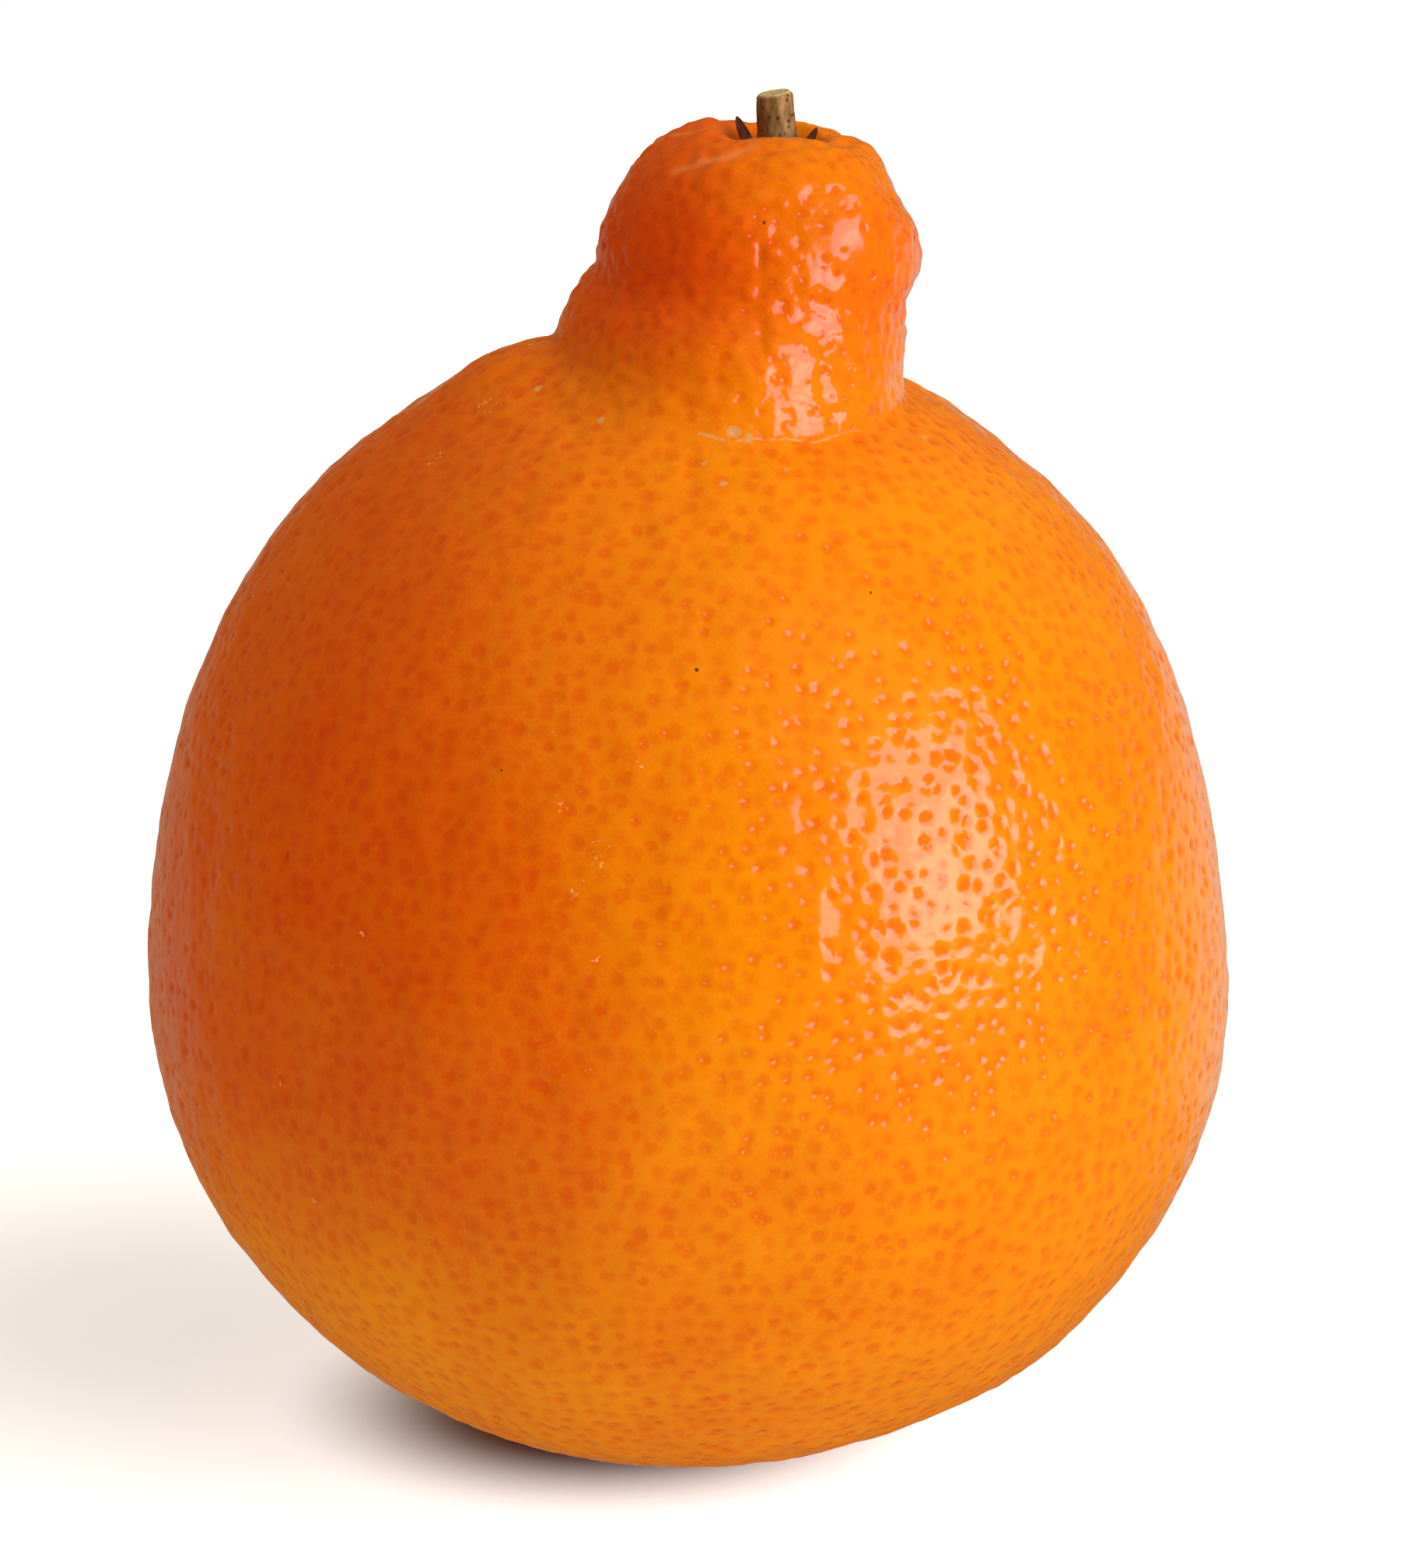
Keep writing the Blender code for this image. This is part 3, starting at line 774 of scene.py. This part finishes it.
# Where each limit of the scar starts and is whole: off the fold, in the noise, and across the fruit
SCAR = "#DDA468"
SCAR_STRENGTH = 0.85
SCAR_EDGE = (0.15 * MM, 0.03 * MM)
SCAR_WANDER = 1.6 * MM
SCAR_WANDER_SIZE = 2.5 * MM
SCAR_BREAK_SIZE = 0.8 * MM
SCAR_BREAKS = (0.38, 0.5)
SCAR_LEFT = (0.2 * MM, 1.2 * MM)
SCAR_RIGHT = (12.6 * MM, 10.0 * MM)
SCAR_FRONT = (0.0, -2.0 * MM)

# Factor and shift from the crumbs of noise to a frayed edge, for scabs and for scuffs, which are partly
# painted glints
CRUMB_SIZE = 0.28 * MM
SCAB_EDGE = (1.6, -0.8)
SCUFF_GLINT_EDGE = (-6.0, 4.3)
SCUFF_GLINT_KIND = 0.8
MARK_EDGE = (1.0, 0.7)
MARK_STRENGTH = 0.85

DIMPLE_DEPTH = 0.18 * MM
BASE_DIMPLE_DEPTH = 0.24 * DIMPLE_DEPTH
PORE_DEPTH = 0.04 * MM
ROLL_SIZE = 1.3 * MM
ROLL_HEIGHT = 0.05 * MM
NECK_ROLL = 2.6
NECK_ROLL_EDGE = ((FOLD - 2.0 * MM) / SKIN_LENGTH, (FOLD + 2.0 * MM) / SKIN_LENGTH)
PATCH_EDGE = (0.7 * PATCH_REACH, 1.2 * PATCH_REACH)
RIPPLE_SIZE = 0.6 * MM
RIPPLE_HEIGHT = 0.014 * MM
GRAIN_SIZE = 0.24 * MM
GRAIN_HEIGHT = 0.005 * MM

DUST_SIZE = 11.0 * MM
DUST_EDGE = (0.35, 0.7)
RIND_ROUGHNESS = (0.35, 0.6)
RIND_GLOSS = 0.04
RIND_GLOW = 0.15
RIND_GLOW_DEPTH = 1.5 * MM
RIND_GLOW_COLOUR = (1.0, 0.3, 0.08)
WAX_IOR = 1.45
WAX_ROUGHNESS = 0.1


def waxed_citrus_peel():
    """Waxed citrus peel: mottled orange, a redder spot at each gland, scuffs that are partly painted glints,
    a painted glint along the crown's creases, a scar, and a pitted coat.
    """
    material, tree, shader, place = fresh_material("waxed_citrus_peel")

    ragged = combine(tree, "MULTIPLY_ADD", noise(tree, place, RAGGED_SIZE), RAGGED, -0.5 * RAGGED)
    depths = add(tree, "SeparateXYZ", {0: stored(tree, "pit_depths")["Vector"]})
    both = {"spot": [], "dimple": [], "pore": []}
    for label, depth in (("pit_first", depths[0]), ("pit_second", depths[1])):
        arrow = stored(tree, label)["Vector"]
        reach = gap(tree, arrow)
        frayed = combine(tree, "ADD", reach, ragged)
        tone = combine(tree, "MULTIPLY_ADD", depth, *SPOT_TONE)
        deep = fitted(tree, depth, PORE_PITS)
        for part, away, edge, most in (("spot", frayed, SPOT_EDGE, tone),
                                       ("dimple", reach, DIMPLE_EDGE, depth),
                                       ("pore", reach, PORE_EDGE, deep)):
            fall = combine(tree, "POWER", fitted(tree, away, edge[:2]), edge[2])
            both[part].append(combine(tree, "MULTIPLY", fall, most))
    spot, dimple, pore = (combine(tree, "MAXIMUM", *pair) for pair in both.values())

    grain = noise(tree, place, GRAIN_SIZE, 3.0)
    tint = stored(tree, "redness")["Fac"]
    for mottle, share in ((noise(tree, place, SPECKLE_SIZE, 3.0), SPECKLE_TINT),
                          (noise(tree, place, DRIFT_SIZE), DRIFT_TINT), (grain, GRAIN_TINT)):
        tint = combine(tree, "MULTIPLY_ADD", mottle, share, tint)
    orange = graded(tree, tint, PEEL_RAMP)
    colour = mixed(tree, spot, orange, GLAND_DARKENS, blend_type="MULTIPLY")
    # A pale line along the crown's creases: a painted glint.
    painted_crease_glint = stored(tree, "painted_crease_glint")["Fac"]
    colour = mixed(tree, painted_crease_glint, colour, CREASE_GLINT_COLOUR)

    laid_out = add(tree, "SeparateXYZ", {0: add(tree, "UVMap", uv_map="OFBake")[0]})
    wander = noise(tree, place, SCAR_WANDER_SIZE)
    wander = combine(tree, "MULTIPLY_ADD", wander, SCAR_WANDER, -0.5 * SCAR_WANDER - FOLD)
    off_fold = combine(tree, "MULTIPLY_ADD", laid_out[1], SKIN_LENGTH, wander)
    off_fold = combine(tree, "ABSOLUTE", off_fold)
    broken = noise(tree, place, SCAR_BREAK_SIZE, 3.0)
    where = add(tree, "SeparateXYZ", {0: place})
    scar = SCAR_STRENGTH
    for value, span in ((off_fold, SCAR_EDGE), (broken, SCAR_BREAKS),
                        (where[0], SCAR_LEFT), (where[0], SCAR_RIGHT), (where[1], SCAR_FRONT)):
        scar = combine(tree, "MULTIPLY", fitted(tree, value, span, soft=True), scar)
    colour = mixed(tree, scar, colour, SCAR)

    kind = stored(tree, "blemish_kind")["Fac"]
    arrow = stored(tree, "blemish")["Vector"]
    reach = gap(tree, arrow)
    crumbs = noise(tree, place, CRUMB_SIZE, 4.0)
    frayed = combine(tree, "ADD", reach, combine(tree, "MULTIPLY_ADD", crumbs, *SCAB_EDGE))
    scuffed_or_glint = combine(tree, "ADD", reach, combine(tree, "MULTIPLY_ADD", crumbs, *SCUFF_GLINT_EDGE))
    is_scuff_or_glint = combine(tree, "GREATER_THAN", kind, SCUFF_GLINT_KIND)
    edge = add(tree, "Mix", {0: is_scuff_or_glint, 2: frayed, 3: scuffed_or_glint})[0]
    mark = fitted(tree, edge, MARK_EDGE, (0.0, MARK_STRENGTH))
    mark_colour = graded(tree, kind, BLEMISH_COLOURS, "CONSTANT")
    colour = mixed(tree, mark, colour, mark_colour)

    on_neck = fitted(tree, laid_out[1], NECK_ROLL_EDGE, (0.0, NECK_ROLL))
    patch = MM * np.array(SMOOTH_PATCH)
    from_patch = gap(tree, place, patch)
    rolling = combine(tree, "ADD", on_neck, 1.0)
    rolling = combine(tree, "MULTIPLY", rolling, fitted(tree, from_patch, PATCH_EDGE, soft=True))
    roll = combine(tree, "MULTIPLY", noise(tree, place, ROLL_SIZE, 1.0), rolling)
    ripple = combine(tree, "MULTIPLY", noise(tree, place, RIPPLE_SIZE, 1.0), rolling)
    base_layers = ((dimple, BASE_DIMPLE_DEPTH, True), (grain, GRAIN_HEIGHT, False))
    coat_layers = ((roll, ROLL_HEIGHT, False), (dimple, DIMPLE_DEPTH, True), (pore, PORE_DEPTH, True),
                   (ripple, RIPPLE_HEIGHT, False), (grain, GRAIN_HEIGHT, False))
    plug(tree, shader, {
        "Base Color": colour, "Normal": bumpy(tree, base_layers), "Coat Normal": bumpy(tree, coat_layers),
        "Roughness": fitted(tree, noise(tree, place, DUST_SIZE, 3.0), DUST_EDGE, RIND_ROUGHNESS),
        "IOR": WAX_IOR, "Specular IOR Level": RIND_GLOSS,
        "Coat Weight": 1.0, "Coat IOR": WAX_IOR, "Coat Roughness": WAX_ROUGHNESS,
        "Subsurface Weight": RIND_GLOW, "Subsurface Radius": RIND_GLOW_COLOUR,
        "Subsurface Scale": RIND_GLOW_DEPTH,
    })
    return material


fruit.data.materials.append(waxed_citrus_peel())
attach(fruit, "root")
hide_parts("fruit")

# %% [markdown]
# ## Dried calyx
# The green button and sepals under the flower stay on the fruit and dry to a dark brown, brittle scrap. It
# is one thin surface: a star with five points, thick in the middle, whose points curl up against the dimple's
# wall. The left one stands up as a spike. It is worked out as rings from the middle of its underside, round
# its edge, and back over its top.

# %% Calyx
CALYX_BASE, CALYX_TOP = (float(corner[2]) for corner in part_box("calyx"))
CALYX_COLUMNS, CALYX_RINGS = 120, 22
BUTTON_RADIUS = 2.0 * MM
SEPAL_REACH = 1.15 * MM
SEPAL_TURNS = np.radians([156.0, 96.0, 30.0, -18.0, -78.0])
SEPAL_CURLS = MM * np.array([2.7, 1.6, 1.9, 1.5, 1.6])
SEPAL_WIDTHS = np.radians([34.0, 21.0, 20.0, 20.0, 21.0])
SEPAL_THICKNESS = 0.3 * MM
CALYX_MIDDLE = 0.04
CALYX_LIFT = 0.12 * MM
CRUMPLE_HEIGHT = 0.12 * MM
BUTTON_FALL = 0.8
EDGE_THINS = 1.05
HUSK_RAMP = ((0.3, "#3C1A0C"), (0.5, "#6C3014"), (0.72, "#9A5428"))
HUSK_PATCH_SIZE = 0.5 * MM
WRINKLE_SIZE = 0.3 * MM
WRINKLE_HEIGHT = 0.08 * MM
HUSK_ROUGHNESS = 0.85


def sepals(turn, share, side):
    """Star whose reach and curl are bells of the turn round each sepal. side is 1 on top and 0 underneath."""
    off = (turn[..., None] - SEPAL_TURNS + math.pi) % (2.0 * math.pi) - math.pi
    bells = np.exp(-(off / SEPAL_WIDTHS) ** 2)
    reach = BUTTON_RADIUS + SEPAL_REACH * bells.max(axis=-1) ** 2
    curl = (bells ** 2 * SEPAL_CURLS).sum(axis=-1)
    crumple = CRUMPLE_HEIGHT * np.sin(7.0 * turn + 9.0 * share) * share ** 2
    thick = (CALYX_TOP - CALYX_BASE) * (1.0 - share) ** BUTTON_FALL
    thick = thick + SEPAL_THICKNESS * share * (EDGE_THINS - share)
    z = CALYX_BASE + curl * share ** 3 + crumple + side * thick + CALYX_LIFT
    radius = reach * share
    return np.stack([STALK_X + radius * np.cos(turn), radius * np.sin(turn), z], axis=-1)


calyx_turns = np.linspace(0.0, 2.0 * math.pi, CALYX_COLUMNS, endpoint=False)
calyx_turn, calyx_share = np.meshgrid(calyx_turns, np.linspace(CALYX_MIDDLE, 1.0, CALYX_RINGS))
under = sepals(calyx_turn, calyx_share, 0.0)
over = sepals(calyx_turn, calyx_share, 1.0)
calyx, _, _, _ = closed_skin("calyx_scrap", np.concatenate([under, over[::-1]]))


def dried_husk():
    """Dried plant husk: nearly black brown, patchy, matt and wrinkled."""
    material, tree, shader, place = fresh_material("dried_husk")
    colour = graded(tree, noise(tree, place, HUSK_PATCH_SIZE, 4.0), HUSK_RAMP)
    wrinkles = ((noise(tree, place, WRINKLE_SIZE, 4.0), WRINKLE_HEIGHT, False),)
    plug(tree, shader, {"Base Color": colour, "Normal": bumpy(tree, wrinkles), "Roughness": HUSK_ROUGHNESS})
    return material


calyx.data.materials.append(dried_husk())
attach(calyx, "root")
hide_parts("calyx")

# %% [markdown]
# ## Cut stem
# A stub of the twig is left where the fruit was clipped. Its bark is dry and olive tan, ribbed along its
# length, dotted with dark pores and darker towards its foot, and darker on its shaded left side, which is
# painted shade. The cut has a rounded rim and a sunk, paler middle. It is a profile carried around a leaning
# axis, with the ribs and the bark's bumps added as height.

# %% Stem
STEM_BASE = float(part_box("stem")[0][2])
STEM_COLUMNS, STEM_RINGS, CUT_RINGS = 110, 64, 16
STEM_RADIUS = 1.4 * MM
STEM_FOOT_RADIUS = 1.65 * MM
STEM_FLARE_LENGTH = 0.09
STEM_TAPER = 0.12
STEM_LENGTH = 3.65 * MM
STEM_LEAN = -0.08
STEM_CUT_SLOPE = 0.16
STEM_CUT_ROUND = 0.16 * MM
STEM_CUT_FROM = 0.93
STEM_RIBS = 9
RIB_HEIGHT = 0.03 * MM
RIB_SWAY = 1.6
BARK_WAVES = (3, 30, (0.35 * MM, 1.0 * MM))
BARK_HEIGHT = 0.035 * MM
BARK_STRETCH = np.array([1.0, 1.0, 0.45])
CUT_SINK = 0.16 * MM
CUT_WAVES = (9, 20, (0.2 * MM, 0.6 * MM))
CUT_HEIGHT = 0.02 * MM

stem_turns = np.linspace(0.0, 2.0 * math.pi, STEM_COLUMNS, endpoint=False)
stem_turn, stem_share = np.meshgrid(stem_turns, np.linspace(0.0, 1.0, STEM_RINGS))


def stub(turn, share, inset):
    """Flared, tapering, leaning tube with a slanting end. inset shrinks a ring towards the axis."""
    flare = (STEM_FOOT_RADIUS - STEM_RADIUS) * np.exp(-share / STEM_FLARE_LENGTH)
    worn = STEM_CUT_ROUND * ease(share, STEM_CUT_FROM, 1.0)
    radius = (STEM_RADIUS + flare - STEM_TAPER * STEM_RADIUS * share - worn) * inset
    rib = np.cos(STEM_RIBS * turn + RIB_SWAY * np.sin(2.0 * turn + 4.0 * share))
    rib = RIB_HEIGHT * rib * (1.0 - ease(share, 0.9, 1.0))
    radius = radius + rib * inset
    x = STALK_X + STEM_LEAN * STEM_LENGTH * share + radius * np.cos(turn)
    slant = STEM_CUT_SLOPE * radius * np.cos(turn) * share
    return np.stack([x, radius * np.sin(turn), STEM_BASE + STEM_LENGTH * share + slant], axis=-1)


bark_rings = stub(stem_turn, stem_share, 1.0)
bark_out = outward_normals(bark_rings)
bark = BARK_HEIGHT * waves(bark_rings * BARK_STRETCH, *BARK_WAVES)
bark_rings = bark_rings + bark_out * (bark * (1.0 - ease(stem_share, 0.92, 1.0)))[..., None]
cut_turn, cut_inset = np.meshgrid(stem_turns, np.linspace(0.94, 0.05, CUT_RINGS))
cut_rings = stub(cut_turn, np.ones_like(cut_turn), cut_inset)
cut_rings[..., 2] -= CUT_SINK * (1.0 - cut_inset ** 2) ** 1.5
cut_rings[..., 2] += CUT_HEIGHT * waves(cut_rings, *CUT_WAVES)
stem, _, _, _ = closed_skin("stem_stub", np.concatenate([bark_rings, cut_rings]))
cut_place = stub(np.array([0.5 * math.pi]), np.array([1.0]), 0.0)[0]

# %% Stem material
BARK_RAMP = ((0.3, "#6E4F26"), (0.5, "#94743E"), (0.72, "#B8975A"))
CUT_RAMP = ((0.3, "#9C8A4E"), (0.7, "#D3C48C"))
DARK_BARK_AND_SHADE = "#4A2A14"
PORE_BROWN = "#33200F"
STREAK_SIZE = 0.45 * MM
STREAK_STRETCH = (1.0, 1.0, 0.3)
FOOT_DARK_SPAN = (STEM_BASE + 1.5 * MM, STEM_BASE)
FOOT_DARK_SHARE = 0.8
PAINTED_SHADE_SPAN = (STALK_X + 0.2 * MM, STALK_X - 1.3 * MM)
PAINTED_SHADE_SHARE = 0.5
BARK_PORE_SPACING = 0.55 * MM
BARK_PORE_EDGE = (0.3, 0.16)
BARK_PORE_SHARE = 0.85
CUT_EDGE = (1.22 * MM, 1.08 * MM)
PITH_SIZE = 0.3 * MM
FLAKE_SIZE = 0.2 * MM
FLAKE_HEIGHT = 0.05 * MM
BARK_ROUGHNESS = 0.72


def twig_bark():
    """Dry citrus twig: olive tan bark with grey brown streaks along it, dark pores, and a paler cut."""
    material, tree, shader, place = fresh_material("twig_bark")
    along = add(tree, "Mapping", {"Vector": place, "Scale": STREAK_STRETCH})[0]
    where = add(tree, "SeparateXYZ", {0: place})
    pores = add(tree, "TexVoronoi", {"Vector": place, "Scale": 1.0 / BARK_PORE_SPACING})["Distance"]
    colour = graded(tree, noise(tree, along, STREAK_SIZE, 4.0), BARK_RAMP)
    # Darker towards the foot, darker on the shaded left side as painted shade, and dark pores.
    for value, span, share, over in ((where[2], FOOT_DARK_SPAN, FOOT_DARK_SHARE, DARK_BARK_AND_SHADE),
                                     (where[0], PAINTED_SHADE_SPAN, PAINTED_SHADE_SHARE, DARK_BARK_AND_SHADE),
                                     (pores, BARK_PORE_EDGE, BARK_PORE_SHARE, PORE_BROWN)):
        colour = mixed(tree, fitted(tree, value, span, (0.0, share)), colour, over)
    from_cut = gap(tree, place, cut_place)
    pith = graded(tree, noise(tree, place, PITH_SIZE, 3.0), CUT_RAMP)
    colour = mixed(tree, fitted(tree, from_cut, CUT_EDGE), colour, pith)
    flakes = ((noise(tree, along, FLAKE_SIZE, 4.0), FLAKE_HEIGHT, False),)
    plug(tree, shader, {"Base Color": colour, "Normal": bumpy(tree, flakes), "Roughness": BARK_ROUGHNESS})
    return material


stem.data.materials.append(twig_bark())
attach(stem, "root")
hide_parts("stem")

# %% [markdown]
# ## Light
# One tall window stands to the right in front, with a brighter pane low in it and a soft curtain above.
# Behind the fruit the paper sweeps up and is white, above is a pale ceiling, and the room in front and to the
# left is dim and warm. The world says this by direction. The wax mirrors a plain brown room instead, with a
# little of the paper's edge behind the fruit, and what the camera itself sees there is plain white.

# %% Window and room
LIGHT_DISTANCE = 1.2
# Name, turn and rise in degrees, width and height in metres, radiance, colour, and whether it is mirrored
LIGHTS = (
    ("window", -34.0, 17.0, 0.76, 0.72, 4.4, (0.86, 0.72, 1.0), True),
    ("bright_pane", -31.0, 11.0, 0.42, 0.32, 3.0, (1.0, 0.85, 0.6), True),
    ("curtain", -42.0, 48.0, 0.8, 0.8, 2.5, (1.0, 1.0, 0.8), False),
)
ROOM_DIM = "#826A58"
ROOM_CEILING = "#E8DCCC"
ROOM_BACK = "#F2EEE6"
ROOM_BACK_LEFT = "#A89884"
ROOM_MIRRORED = "#B4662F"
PAPER_SHINE = 0.5
# Axis of the way that a ray goes, and where on it each share of the room starts and is whole
ROOM_SPANS = (
    (0, (-0.3, 0.3)), (1, (0.1, 0.5)), (2, (0.3, 0.9)),
    (1, (0.3, 0.7)), (2, (0.05, -0.15)), (2, (-0.5, -0.3)),
)

for name, turn, up, wide, high, radiance, colour, mirrored in LIGHTS:
    turn, up = math.radians(turn), math.radians(up)
    heading = np.array([math.cos(up) * math.cos(turn), math.cos(up) * math.sin(turn), math.sin(up)])
    lamp = bpy.data.lights.new(name, "AREA")
    lamp.shape = "RECTANGLE"
    lamp.size, lamp.size_y = wide, high
    lamp.color = colour
    lamp.energy = radiance * math.pi * wide * high
    pane = bpy.data.objects.new(name, lamp)
    pane.location = LOOK_AT + LIGHT_DISTANCE * heading
    pane.rotation_euler = (0.5 * math.pi - up, 0.0, turn + 0.5 * math.pi)
    pane.visible_glossy = mirrored
    bpy.context.scene.collection.objects.link(pane)

world = bpy.data.worlds.new("pale_room")
bpy.context.scene.world = world
world.use_nodes = True
tree = world.node_tree
tree.nodes.clear()
rays = add(tree, "LightPath")
heading = add(tree, "SeparateXYZ", {0: add(tree, "TexCoord")["Generated"]})
shares = [fitted(tree, heading[axis], span, soft=True) for axis, span in ROOM_SPANS]
to_right, to_back, to_ceiling, far_back, below, far_off = shares
back = mixed(tree, to_right, ROOM_BACK_LEFT, ROOM_BACK)
room = mixed(tree, to_ceiling, mixed(tree, to_back, ROOM_DIM, back), ROOM_CEILING)
paper_behind = combine(tree, "MULTIPLY", combine(tree, "MULTIPLY", far_back, below), far_off)
paper_behind = combine(tree, "MULTIPLY", paper_behind, PAPER_SHINE)
mirrored = mixed(tree, paper_behind, ROOM_MIRRORED, back)
light = mixed(tree, rays["Is Glossy Ray"], room, mirrored)
light = mixed(tree, rays["Is Camera Ray"], light, "#FFFFFF")
sky = add(tree, "Background", {"Color": light, "Strength": 1.0})[0]
add(tree, "OutputWorld", {"Surface": sky})
bpy.context.scene.view_settings.view_transform = "Standard"

# %% [markdown]
# ## Floor
# The fruit stands on white paper. The paper is given a glow, which is painted light, so that it stays white
# round the shadow, and the glow is dimmed in two painted shadows beside the fruit. The light that it throws
# up at the fruit is weaker than what the camera sees. It is left out of what the gloss mirrors, as a dark
# room would have it.

# %% Floor
FLOOR_RADIUS = 0.6
FLOOR_SIDES = 96
FLOOR_GLOW = 0.98
FLOOR_BOUNCE = 0.63
PAPER = "#A8A6A2"
PAPER_GLOW = "#FFFDF9"
PAPER_ROUGHNESS = 0.9
PAPER_GLOSS = 0.2
# Where each painted shadow on the paper is, how far it reaches, how soft its edge is, and the share of glow
# left in it
PAINTED_SHADOWS = (
    ((-6.0 * MM, 4.0 * MM, 0.0), 10.0 * MM, 25.0 * MM, 0.0),
    ((-42.0 * MM, 24.0 * MM, 0.0), 4.0 * MM, 62.0 * MM, 0.6),
)

floor_turn = 2.0 * math.pi * np.arange(FLOOR_SIDES) / FLOOR_SIDES
floor_rim = FLOOR_RADIUS * np.stack([np.cos(floor_turn), np.sin(floor_turn), 0.0 * floor_turn], axis=-1)
floor_mesh = bpy.data.meshes.new("floor")
floor_mesh.from_pydata(floor_rim.tolist(), [], [list(range(FLOOR_SIDES))])
floor = bpy.data.objects.new("floor", floor_mesh)
bpy.context.scene.collection.objects.link(floor)
floor.visible_glossy = False
paper, tree, paper_shader, paper_place = fresh_material("white_paper")
glow = FLOOR_GLOW
# The glow is dimmed round each painted shadow.
for middle, inside, outside, least in PAINTED_SHADOWS:
    away = gap(tree, paper_place, middle)
    glow = combine(tree, "MULTIPLY", fitted(tree, away, (inside, outside), (least, 1.0), soft=True), glow)
seen = fitted(tree, add(tree, "LightPath")["Is Camera Ray"], (0.0, 1.0), (FLOOR_BOUNCE, 1.0))
glow = combine(tree, "MULTIPLY", seen, glow)
plug(tree, paper_shader, {
    "Base Color": PAPER, "Roughness": PAPER_ROUGHNESS, "Specular IOR Level": PAPER_GLOSS,
    "Emission Color": PAPER_GLOW, "Emission Strength": glow,
})
floor.data.materials.append(paper)
